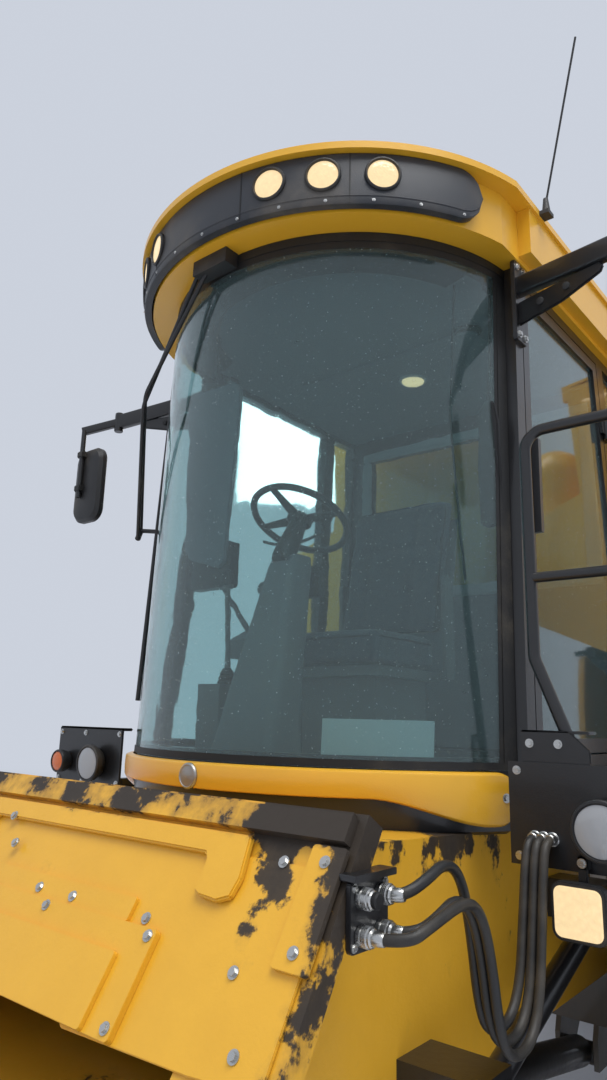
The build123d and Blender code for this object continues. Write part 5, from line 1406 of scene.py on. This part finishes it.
inner_mirror = (
    (704, 2700),
    (698, 2900),
    (706, 3100),
    (734, 3141),
    (766, 3130),
    (780, 3050),
    (782, 2790),
    (768, 2700),
    (734, 2685),
)
control_parts.append(plate(FACING_FRONT, blind, 1290, 1312, lining, 7))
control_parts.append(tube(((-450, -1300, 3690), (-452, -1300, 3560), (-455, -1300, 3440)), 14, black_plastic))
control_parts.append(plate(FACING_FRONT, inner_mirror, 1130, 1152, black_plastic, 6))
mirror_rod = ((730, -1120, 3120), (722, -1080, 3300), (700, -1020, 3480), (690, -990, 3690))
control_parts.append(tube(mirror_rod, 14, black_plastic))
control_parts.append(tube(((573, -1100, 3124), (590, -1100, 2850), (617, -1100, 2530)), 9, black_plastic))
control_parts.append(tube(((573, -1100, 3124), (576, -1080, 3400), (580, -1060, 3690)), 9, black_plastic))
card = plastic("blank_card", (0.55, 0.60, 0.60), 0.4, 300, dust=0.2)
card_rows = [[glass_arc(0.41 + 0.03 * n, z, -16) for n in range(12)] for z in (1950, 2058)]
control_parts.append(shell(card_rows, 2, card))
piece("cab_controls", "machine", control_parts)

# %% [markdown]
# The seat's two cushions are foam in a woven cover: crowned in the middle, pulled in between the corners,
# with sewn channels and a piped seam round the edge. Each starts as a finely divided block whose points are
# moved by those rules, and the piping is a thin tube along the seam.

# %% Seat cushions
CROWN = 12
ROUND_OFF = 30
CHANNEL_DEPTH = 7
CHANNEL_WIDTH = 0.035
PULLED_IN = 0.018


def cushion(size, place_of, material, channels):
    """A stuffed block of some size in millimetres; place_of turns its own place into one of the drawing."""
    form = bmesh.new()
    bmesh.ops.create_cube(form, size=2)
    bmesh.ops.subdivide_edges(form, edges=form.edges[:], cuts=34, use_grid_fill=True)
    half = [value / 2 for value in size]
    for vertex in form.verts:
        u, v, w = vertex.co
        flat = Vector((u * half[0], v * half[1], w * half[2]))
        core = Vector([max(-(h - ROUND_OFF), min(h - ROUND_OFF, c)) for c, h in zip(flat, half)])
        away = flat - core
        soft = core + away.normalized() * ROUND_OFF if away.length > 0 else flat
        dome = (1 - u * u) * (1 - v * v)
        if w > 0:
            soft.z += CROWN * dome * w - CROWN * 0.6
            for line, axis in channels:
                at, along = (v, u) if axis else (u, v)
                furrow = 2.718 ** -(((at - line) / CHANNEL_WIDTH) ** 2)
                soft.z -= CHANNEL_DEPTH * w * furrow * (1 - along**6)
        soft.x *= 1 - PULLED_IN * (1 - v * v) * abs(u)
        soft.y *= 1 - PULLED_IN * (1 - u * u) * abs(v)
        vertex.co = row(*place_of(soft))
    return settled(form, material, 75)


def piping(size, place_of, height, material):
    """A thin tube along a cushion's seam, at a height in the cushion."""
    outline = rounded(size[0] - 6, size[1] - 6, 34, steps=5)
    points = [place_of(Vector((a, b, height))) for a, b in outline + outline[:1]]
    return tube(points, 7, material)


def seat_place(p):
    """The seat cushion lies flat."""
    return (p.x, -860 + p.y, 2331 + p.z)


BACK_TURN = radians(-12)


def back_place(p):
    """The back cushion leans back; its own x runs across, y up the back and z out towards the front."""
    up, out = p.y + 310, p.z + 55
    y = -575 + up * sin(-BACK_TURN) - out * cos(BACK_TURN)
    return (p.x, y, 2430 + up * cos(BACK_TURN) - out * sin(-BACK_TURN))


# A channel is a share of the cushion's half size, and 0 where it is measured across or 1 where it is up.
cushions = (
    ("seat_cushion_padded", (476, 436, 134), seat_place, 34, ((-0.5, 0), (0.5, 0), (0.0, 1))),
    ("seat_back_padded", (474, 606, 108), back_place, 24, ((-0.5, 0), (0.5, 0), (-0.3, 1), (0.3, 1))),
)
for name, size, place_of, seam_height, channels in cushions:
    parts = [
        cushion(size, place_of, seat_cloth, channels),
        piping(size, place_of, seam_height, gasket),
    ]
    padded = piece(name, "machine", parts, replaces=("seat_cushions",))

# %% [markdown]
# Each mirror hangs on a black box-section arm from the cab's corner post, with a tapered stay under it whose
# two lightening holes are shown by dark discs, painted shade where the holes are. The head is a rounded shell
# with the mirror glass on its rear face.

# %% Mirrors
def tapered_stay(start, end, low, high, thick, material):
    """A flat bar between two places that narrows from one height to another."""
    run = Vector(end) - Vector(start)
    length = run.length
    outline = (
        (0, -low / 2),
        (length * 0.55, -low / 2),
        (length, -high / 2),
        (length + 12, 0),
        (length, high / 2),
        (0, low / 2),
    )
    return plate(drawing_plane(start, run, UP), outline, -thick / 2, thick / 2, material, 5)


def leaning_arm(start, end, wide, tall, material):
    """A box section between two places of the drawing."""
    run = (Vector(end) - Vector(start)).normalized()
    across = run.cross(Vector(UP)).normalized()
    up = across.cross(run)
    corners = [across * a + up * b for a, b in rounded(wide, tall, 9, steps=3)]
    return lofted([[tuple(Vector(at) + corner) for corner in corners] for at in (start, end)], material)


mirror_glass = plain("mirror_glass", Base_Color=(0.8, 0.82, 0.84), Metallic=1.0, Roughness=0.03)
arm_black = paint("arm_paint", (0.012, 0.012, 0.013), gloss=0.36, grime=0.42, soil=(0.08, 0.075, 0.07))
swivel = ((0, 20), (4, 23), (96, 23), (100, 20), (100, 0))
painted_shade_hole_disc = ((0, 13), (2, 14), (3, 12), (3, 0))
head_sections = (
    (-1234, 196, 376, 62),
    (-1240, 206, 386, 66),
    (-1262, 206, 386, 66),
    (-1280, 180, 360, 60),
    (-1289, 120, 290, 50),
)
mirror_parts = []
for side in (-1, 1):
    root = (side * 822, -1030, 3600)
    knee = (side * 1290, -1190, 3530)
    tip = (side * 1440, -1300, 3478)
    stay_root, stay_tip = (side * 822, -1032, 3490), (side * 1150, -1142, 3500)
    mirror_parts.append(leaning_arm(root, knee, 40, 74, arm_black))
    mirror_parts.append(leaning_arm(knee, tip, 36, 40, arm_black))
    mirror_parts.append(tapered_stay(stay_root, stay_tip, 92, 40, 14, arm_black))
    mirror_parts.append(turned((side * 1290, -1190, 3478), UP, swivel, arm_black, 32))
    # Near-black discs on the stay: painted shade where its lightening holes are.
    for share in (0.3, 0.62):
        at = (side * (819 + 328 * share), -1041.5 - 110 * share, 3490 + 6 * share)
        mirror_parts.append(turned(at, FRONT, painted_shade_hole_disc, gasket, 28))
    foot = rounded(90, 320, 14, (-1016, 3545))
    mirror_parts.append(plate(FACING_LEFT, foot, side * 816 - 8, side * 816 + 8, arm_black, 4))
    foot_bolts = [(side * 826, y, z) for y in (-1040, -992) for z in (3410, 3680)]
    mirror_parts.append(bolts(foot_bolts, (side, 0, 0), 9, zinc, 17))
    mirror_parts.append(tube([(side * 1425, -1302, z) for z in (3480, 3300, 3120)], 26, arm_black))
    for z in (3150, 3330):
        clamp = (side * 1425 - 24, side * 1425 + 24)
        mirror_parts.append(bar(clamp, (-1318, -1286), (z, z + 34), gasket, 5))
    middle = (side * 1400, 3190)
    sections = []
    for y, wide, tall, radius in head_sections:
        sections.append([(a, y, b) for a, b in rounded(wide, tall, radius, middle, 10)])
    mirror_parts.append(lofted(sections, black_plastic))
    inner = rounded(176, 352, 54, middle, 10)
    mirror_parts.append(lofted([[(a, y, b) for a, b in inner] for y in (-1235, -1232)], mirror_glass))
piece("mirror_arms_and_heads", "machine", mirror_parts, replaces=("mirrors",))

# %% [markdown]
# The lamps under the cab are plain work lamps on black brackets. On the left only the square one is lit: a
# shallow housing with cooling ribs, a bezel and a bright lens. On the right a box bracket carries an unlit
# round lamp and an orange marker.

# %% Lamps under the cab
def round_lamp(place, housing, face, lens, sides):
    """A turned housing and its lens, facing the front."""
    return [turned(place, FRONT, housing, black_plastic, sides), turned(place, FRONT, face, lens, sides - 8)]


orange = plain("orange_lens", Base_Color=(0.62, 0.13, 0.015), Roughness=0.15, Coat_Weight=0.5)
big_housing = ((0, 0), (0, 44), (10, 60), (34, 74), (40, 76), (56, 76), (60, 73), (61, 68), (57, 66))
big_face = ((55, 67), (59, 60), (62, 30), (62.5, 0))
small_housing = ((0, 0), (0, 30), (10, 42), (36, 49), (52, 49), (57, 46), (58, 42), (54, 40))
small_face = ((53, 41), (57, 34), (59, 16), (59.5, 0))
SQUARE_MIDDLE = (1069, 1608)
box_width = (-1320, -862)
clip_width = (1057, 1081)
under_parts = [
    bar(box_width, (-1345, -1335), (1750, 2000), arm_black, 4),
    bar(box_width, (-1345, -1290), (1988, 2000), arm_black, 4),
    bar(box_width, (-1345, -1290), (1750, 1762), arm_black, 4),
    bar((-905, -862), (-1335, -1000), (1755, 1797), arm_black, 4),
    bar((-905, -800), (-1090, -1000), (1765, 1797), arm_black, 4),
]
under_parts += round_lamp((-1015, -1345, 1852), big_housing, big_face, lamp_dark, 56)
under_parts += round_lamp((1127, -1350, 1800), big_housing, big_face, lamp_dark, 56)
under_parts += round_lamp((1400, -1350, 1800), small_housing, small_face, orange, 48)
under_parts += round_lamp((-1240, -1345, 1850), small_housing, small_face, orange, 48)
under_parts += [
    plate(FACING_FRONT, rounded(120, 120, 20, SQUARE_MIDDLE), 1372, 1396, black_plastic, 5),
    plate(FACING_FRONT, rounded(136, 136, 24, SQUARE_MIDDLE), 1394, 1426, black_plastic, 5),
    plate(FACING_FRONT, rounded(118, 118, 18, SQUARE_MIDDLE), 1425, 1432, lamp_lit, 3),
    bar(clip_width, (-1384, -1372), (1660, 1735), arm_black, 3),
    bar(clip_width, (-1384, -1350), (1700, 1735), arm_black, 3),
]
for n in range(6):
    rib = (1560 + 18 * n, 1564 + 18 * n)
    under_parts.append(bar((1020, 1118), (-1376, -1356), rib, black_plastic, 1))
box_bolts = [(x, -1345, z) for x in (-1300, -1120, -882) for z in (1775, 1975)]
under_parts.append(bolts(box_bolts, FRONT, 8, zinc, 19))
under_parts.append(bolts([(1069, -1384, 1718)], FRONT, 8, zinc, 21))
piece("work_lamps", "machine", under_parts, replaces=("front_lamps",))

# %% [markdown]
# The platform beside the door is black. Its deck is punched with raised holes so that a wet boot holds, and
# the fascia in front of it is one folded sheet with a step bracket beside the strip's end.

# %% Platform and its fascia
coat(nodes["platform"], arm_black)
hole = turned((0, ORIGIN_Y, 0), UP, ((0, 15), (2.5, 12), (4.5, 11), (4.5, 8), (0, 6.5)), arm_black, 14)
bracket = ((905, 1955), (905, 2040), (1040, 2040), (1095, 1990), (1095, 1955))
fascia_parts = []
for n in range(9):
    fascia_parts.append(repeated(hole, 26, row(955 + 60 * n, -1290, 1900), step=(0, 0.060, 0)))
fascia_parts.append(plate(FACING_FRONT, bracket, 1342, 1350, arm_black, 3))
fascia_parts.append(bar((905, 1095), (-1350, -1290), (2032, 2040), arm_black, 3))
fascia_bolts = [(x, -1350, z) for x in (890, 1180, 1460) for z in (1712, 1932)]
fascia_parts.append(bolts(fascia_bolts, FRONT, 8, zinc, 23))
fascia_parts.append(bolts([(930, -1350, 2005), (1010, -1350, 2005)], FRONT, 8, zinc, 25))
piece("platform_grip_and_fascia", "machine", fascia_parts)

# %% [markdown]
# Large thin panels are stiffened by pressing a raised field into them. Such a field is a sheet that stands a
# few millimetres proud in the middle and slopes down to its edge. One helper makes it over any surface, given
# as a function of two values, and it dresses the side shields, the tank, the hood and the covers.

# %% Pressed fields
def pressed(surface, across, up, rise, material, slope=18, columns=24, lines=14):
    """A raised field over a surface(a, b, out) between two values of a and two of b."""
    def spread(low, high, count):
        inner = [low + slope + (high - low - 2 * slope) * n / count for n in range(count + 1)]
        near, far = low + slope * 0.5, high - slope * 0.5
        return [(low, 0), (near, 0.55)] + [(value, 1) for value in inner] + [(far, 0.55), (high, 0)]

    rows = []
    for b, share_b in spread(*up, lines):
        heights = [(a, rise * min(share_a, share_b)) for a, share_a in spread(*across, columns)]
        rows.append([surface(a, b, 0.6 + height) for a, height in heights])
    return shell(rows, 5, material)


def shield_skin(side):
    """The bowed outer face of a side shield: a runs rearwards and b is the height."""
    return lambda a, b, out: (side * (1406 + 55 * (1 - ((b - 1825) / 645) ** 2) + out), a, b)


# Near-black finish: the real dark joints of the panel seams, and painted shade on the sheets behind the
# screen and the louvres and in the louvre gaps.
seam_and_shade_black = plain("panel_gap_and_painted_shade", Base_Color=(0.012, 0.011, 0.010), Roughness=0.8)
shield_fields = (
    ((1030, 1850), (1270, 1800)),
    ((1030, 1850), (1840, 2380)),
    ((1900, 2740), (1270, 1800)),
    ((1900, 2740), (1840, 2380)),
    ((2900, 3740), (1500, 2380)),
    ((3800, 4620), (1500, 2380)),
)
for side_name, side in (("left", 1), ("right", -1)):
    skin = shield_skin(side)
    parts = [pressed(skin, across, up, 9, yellow) for across, up in shield_fields]
    for y in (2810, 2826):
        seam = [[skin(y + a, z, 1.0) for a in (0, 5)] for z in range(1440, 2461, 60)]
        parts.append(shell(seam, 4, seam_and_shade_black))
    rivets = [skin(y, 2430, 0) for y in range(980, 4680, 105)]
    rivets += [skin(y, 1215, 0) for y in range(980, 2820, 105)]
    rivets += [skin(y, 1450, 0) for y in range(3000, 4680, 105)]
    parts.append(bolts(rivets, (side, 0, 0), 4.5, zinc, 31 + side))
    for y in (1400, 2300, 3700):
        x, _, z = skin(y, 1272 if y < 2800 else 1502, 0)
        latch, grip = sorted((x, x + side * 16)), sorted((x + side * 14, x + side * 26))
        parts.append(bar(latch, (y - 55, y + 55), (z - 22, z + 22), black_plastic, 5))
        parts.append(bar(grip, (y - 34, y + 34), (z - 10, z + 8), black_gloss, 4))
    piece("side_shield_pressings_" + side_name, "shield_" + side_name, parts)

# %% [markdown]
# The grain tank's walls are sheet with pressed fields, and so are its covers. The unloading auger is a rolled
# tube in sections, joined by bolted flanges, with a rubber lip at its spout.

# %% Tank, covers and auger
def flat_side(side, x):
    """A wall at x on one side of the machine: a runs rearwards and b is the height."""
    return lambda a, b, out: (side * (x + out), a, b)


def flat_end(y, way):
    """A wall across the machine at y that faces one way: a runs across and b is the height."""
    return lambda a, b, out: (a, y + way * out, b)


def cover_skin(side):
    """The crowned top of a tank cover: a runs rearwards and b outwards from the machine's middle."""

    def top(a, b, out):
        t = (b - 6) / (1094 - 6)
        return (side * b, a, 3872 + 50 * (1 - t) + 60 * t * (1 - t) + out)

    return top


tank_parts = []
for side in (-1, 1):
    for x, up, rise in ((1400, (2660, 3100), 10), (1100, (3330, 3740), 8)):
        for n in range(4):
            if side < 0 or n > 0:
                start = 450 + 570 * n
                tank_parts.append(pressed(flat_side(side, x), (start, start + 510), up, rise, yellow))
for wall, low in ((flat_end(2750, 1), 3420), (flat_end(400, -1), 2700)):
    for start in (-1050, -340, 370):
        tank_parts.append(pressed(wall, (start, start + 660), (low, 3760), 8, yellow))
edge_places = [(side * 1400, y, z) for side in (-1, 1) for y in range(430, 2750, 116) for z in (2625, 3130)]
edge_aims = [(1 if place[0] > 0 else -1, 0, 0) for place in edge_places]
tank_parts.append(bolts(edge_places, edge_aims, 5.5, zinc, 41))
piece("grain_tank_pressings", "machine", tank_parts)

for side_name, side in (("left", 1), ("right", -1)):
    starts = [470 + 560 * n for n in range(4)]
    cover_parts = [pressed(cover_skin(side), (start, start + 500), (90, 1010), 8, yellow) for start in starts]
    piece("tank_cover_pressings_" + side_name, "cover_" + side_name, cover_parts)

AUGER_X, AUGER_Z = 1290, 3430
auger_parts = []
for y in (850, 3020, 5790):
    flange = [(AUGER_X + a, y + 30, AUGER_Z + b) for a, b in around(16, 167)]
    auger_parts.append(bolts(flange, REAR, 5, zinc, 43))
for y in (1500, 2200, 3700, 4400, 5100):
    auger_parts.append(hoop((AUGER_X, y, AUGER_Z), REAR, 160.5, 2.2, yellow, 72, 8))
spout_aim = Vector((0, 1, -0.6)).normalized()
for along, thick, material, facets in ((316, 7, gasket, 10), (150, 4, zinc, 8)):
    centre = (AUGER_X, 5810 + along * spout_aim.y, AUGER_Z + along * spout_aim.z)
    auger_parts.append(hoop(centre, spout_aim, 150, thick, material, 64, facets))
piece("auger_bands_and_bolts", "auger", auger_parts)

# %% [markdown]
# The engine bay breathes through a turning screen of wire mesh on the right and louvred grilles elsewhere.
# The wires are rings and spokes, and the louvres are one leaning slat that the repeating tree sets in a
# column. A near-black disc behind the mesh and near-black sheets behind the louvres are painted shade for
# the bay inside.

# %% Screen and louvres
SCREEN_Y, SCREEN_Z = 3520, 2840
# A thin near-black disc just behind the mesh: painted shade for the bay behind the screen.
painted_shade_disc = ((0, 284), (1.5, 284), (1.5, 0))
screen_hub = ((0, 46), (8, 44), (12, 36), (12, 0))
screen_parts = [turned((-1129, SCREEN_Y, SCREEN_Z), RIGHT, painted_shade_disc, seam_and_shade_black, 64)]
for n in range(1, 14):
    screen_parts.append(hoop((-1132, SCREEN_Y, SCREEN_Z), LEFT, 20 + 20 * n, 1.8, galvanised, 72, 6))
spoke = tube([(0, ORIGIN_Y, r) for r in (44, 160, 281)], 3.2, galvanised)
screen_parts.append(repeated(spoke, 48, row(-1132.5, SCREEN_Y, SCREEN_Z), turn=(7.5, 0, 0)))
screen_parts.append(hoop((-1130, SCREEN_Y, SCREEN_Z), LEFT, 283, 6, charcoal, 80, 10))
screen_parts.append(turned((-1130, SCREEN_Y, SCREEN_Z), RIGHT, screen_hub, charcoal, 40))
piece("screen_mesh", "screen", screen_parts)

engine_parts = []
for side in (-1, 1):
    wall_x = side * 1078
    back, rim = sorted((wall_x, wall_x + side * 3)), sorted((wall_x, wall_x + side * 16))
    near, far = ORIGIN_Y - 130, ORIGIN_Y + 130
    slat = plate(row, ((0, near), (side * 14, near), (side * 14, far), (0, far)), -3, 3, yellow, 1)
    for y in (3080, 3420, 3900) if side > 0 else (4120,):
        first = row(wall_x + side * 0.5, y, 2700)
        engine_parts.append(repeated(slat, 9, first, step=(0, 0, 0.042), start=(0, side * 32, 0)))
        # The near-black sheet behind the slats is painted shade for the bay inside the grille.
        engine_parts.append(bar(back, (y - 138, y + 138), (2672, 3062), seam_and_shade_black, 0))
        for low, high in ((2664, 2676), (3056, 3068)):
            engine_parts.append(bar(rim, (y - 146, y + 146), (low, high), yellow, 2))
        for at in (y - 146, y + 138):
            engine_parts.append(bar(rim, (at, at + 8), (2664, 3068), yellow, 2))


def drawn(plane):
    """A plane as a surface whose places are millimetres of the drawing."""

    def surface(a, b, out):
        place = plane(a, b, out) * 1000
        return (place.x, place.y - AXLE_SHIFT, place.z)

    return surface


cover_top = drawn(drawing_plane((0, 2800, 3380), LEFT, (0, 1650, -180)))
cover_fields = (
    ((-880, -60), (80, 780)),
    ((60, 880), (80, 780)),
    ((-480, -60), (860, 1560)),
    ((60, 880), (860, 1560)),
)
for across, up in cover_fields:
    engine_parts.append(pressed(cover_top, across, up, 9, yellow))
exhaust = ((0, 76), (150, 76), (150, 82), (168, 82), (168, 76), (276, 76), (281, 60), (281, 0))
engine_parts.append(hoop((-600, 4210, 3618), (0, 0.37, 0.93), 50, 5, iron, 48, 8))
engine_parts.append(turned((-600, 4150, 3200), UP, exhaust, iron, 48))
piece("engine_bay_details", "machine", engine_parts)

# %% [markdown]
# The rear hood is folded from large sheets with pressed fields, louvred vents in its sides and a lamp cluster
# on each rear corner: a red, an orange and a clear lens in a black housing, with plain reflectors. A
# near-black strip under each louvre is painted shade in its gap.

# %% Rear hood and its lamps
hood_parts = []
slopes = (
    ((0, 4700, 3000), (0, 750, -220), (70, 700), 1100),
    ((0, 5450, 2780), (0, 550, -400), (50, 620), 980),
)
for origin, up_way, up, wide in slopes:
    slope = drawn(drawing_plane(origin, LEFT, up_way))
    for across in ((-wide, -40), (40, wide)):
        hood_parts.append(pressed(slope, across, up, 10, yellow))

louvre = ((0, 0.6), (6, 12), (26, 15), (40, 0.8))
side_walls = (
    (drawing_plane((-1340, 5450, 0), (-40, -750, 0), UP), 738),
    (drawing_plane((1380, 4700, 0), (-40, 750, 0), UP), 12),
)
for plane, seam_start in side_walls:
    wall = drawn(plane)
    hood_parts.append(pressed(wall, (60, 690), (1600, 2080), 10, yellow))
    for n in range(9):
        z = 2180 + 52 * n
        rows = [[wall(a, z + b, out) for a in (110, 640)] for b, out in louvre]
        hood_parts.append(shell(rows, 1.5, yellow))
        # A near-black strip under each louvre: painted shade in its gap.
        gap = [[wall(a, z + b, 1.2) for a in (112, 638)] for b in (-9, 1)]
        hood_parts.append(shell(gap, 4, seam_and_shade_black))
    seam = [[wall(seam_start + a, z, 1.0) for a in (0, 4)] for z in (1530, 2000, 2600)]
    hood_parts.append(shell(seam, 4, seam_and_shade_black))

LAMP_X = 1099
red_lens = plain("red_lens", Base_Color=(0.45, 0.008, 0.008), Roughness=0.15, Coat_Weight=0.5)
reflector = ((0, 30), (6, 30), (8, 26), (8, 0))
for side in (-1, 1):
    housing = sorted((side * 1020, side * 1178))
    hood_parts.append(bar(housing, (5985, 6030), (1700, 2060), black_plastic, 8))
    for z, lens in ((1712, red_lens), (1830, orange), (1948, lamp_dark)):
        outline = rounded(130, 102, 14, (side * LAMP_X, z + 51))
        hood_parts.append(plate(FACING_FRONT, outline, -6040, -6028, lens, 4))
    hood_parts.append(turned((side * LAMP_X, 6030, 1660), REAR, reflector, red_lens, 36))
    holder = (side * LAMP_X - 34, side * LAMP_X + 34)
    hood_parts.append(bar(holder, (5990, 6031), (1626, 1700), black_plastic, 4))
piece("rear_hood_details", "machine", hood_parts)

# %% [markdown]
# The ladder's treads are punched like the platform's deck, and bolts hold them to its stringers. These parts
# ride on the ladder's own body, because the ladder swings.

# %% Ladder treads
TREADS, TREAD_RISE = 5, 285
tread_parts = []
for n in range(TREADS):
    for x in (1536, 1560, 1584, 1608):
        first = row(x, -1236, 498 + TREAD_RISE * n)
        tread_parts.append(repeated(hole, 6, first, step=(0, 0.052, 0)))
tread_bolts = [(1627, -1286 + 340 * m, 484 + TREAD_RISE * n) for n in range(TREADS) for m in (0, 1)]
tread_parts.append(bolts(tread_bolts, LEFT, 6, zinc, 51))
piece("ladder_grip", "ladder_body", tread_parts)

# %% [markdown]
# The light is soft and even, like an overcast day: a pale sky all round, one broad lamp high over the front
# and a weaker one behind. The floor is a pale disc that fades into the sky's colour far from the machine, so
# no horizon cuts the picture.

# %% Light and floor
SKY = (0.60, 0.64, 0.72)
SKY_LIGHT = (0.86, 0.90, 1.0)
SKY_STRENGTH = 0.78
world = bpy.data.worlds.new("sky")
world.use_nodes = True
bpy.context.scene.world = world
tree = world.node_tree
tree.nodes["Background"].inputs["Color"].default_value = (*SKY_LIGHT, 1)
tree.nodes["Background"].inputs["Strength"].default_value = SKY_STRENGTH
seen = tree.nodes.new("ShaderNodeBackground")
seen.inputs["Color"].default_value = (*SKY, 1)
rays = tree.nodes.new("ShaderNodeLightPath")
direct = Value(tree, rays.outputs["Is Camera Ray"])
shiny = Value(tree, rays.outputs["Is Glossy Ray"])
through = Value(tree, rays.outputs["Is Transmission Ray"])
share = direct.math("MAXIMUM", direct, shiny.math("MAXIMUM", shiny, through))
mix = tree.nodes.new("ShaderNodeMixShader")
tree.links.new(share.socket, mix.inputs["Fac"])
tree.links.new(tree.nodes["Background"].outputs[0], mix.inputs[1])
tree.links.new(seen.outputs[0], mix.inputs[2])
tree.links.new(mix.outputs[0], tree.nodes["World Output"].inputs["Surface"])


def soft_lamp(name, place, target, size, watts):
    """A square lamp of some size in metres that aims at a target."""
    data = bpy.data.lights.new(name, "AREA")
    data.size = size
    data.energy = watts
    lamp = bpy.data.objects.new(name, data)
    bpy.context.scene.collection.objects.link(lamp)
    lamp.location = place
    lamp.rotation_euler = (Vector(target) - Vector(place)).to_track_quat("-Z", "Y").to_euler()


soft_lamp("front_lamp", (4, -5, 13), (0, -2, 2), 7, 1100)
soft_lamp("rear_lamp", (-8, 10, 11), (0, 2, 2), 8, 700)

floor_mesh = bpy.data.meshes.new("floor")
rim_points = [(a, b, 0) for a, b in around(96, 60)]
floor_mesh.from_pydata(rim_points, [], [list(range(96))])
floor = bpy.data.objects.new("floor", floor_mesh)
bpy.context.scene.collection.objects.link(floor)
made = Finish("floor", Base_Color=(0.62, 0.64, 0.68), Roughness=0.9)
distance = made.place.node("ShaderNodeVectorMath", {"Vector": made.place}, out="Value", operation="LENGTH")
glow_node = made.tree.nodes.new("ShaderNodeEmission")
glow_node.inputs["Color"].default_value = (*SKY, 1)
fade = made.tree.nodes.new("ShaderNodeMixShader")
made.tree.links.new(distance.ramp(9, 30).socket, fade.inputs["Fac"])
made.tree.links.new(made.shader.outputs[0], fade.inputs[1])
made.tree.links.new(glow_node.outputs[0], fade.inputs[2])
made.tree.links.new(fade.outputs[0], made.tree.nodes["Material Output"].inputs["Surface"])
floor_mesh.materials.append(made.material)
print("light and floor ready")
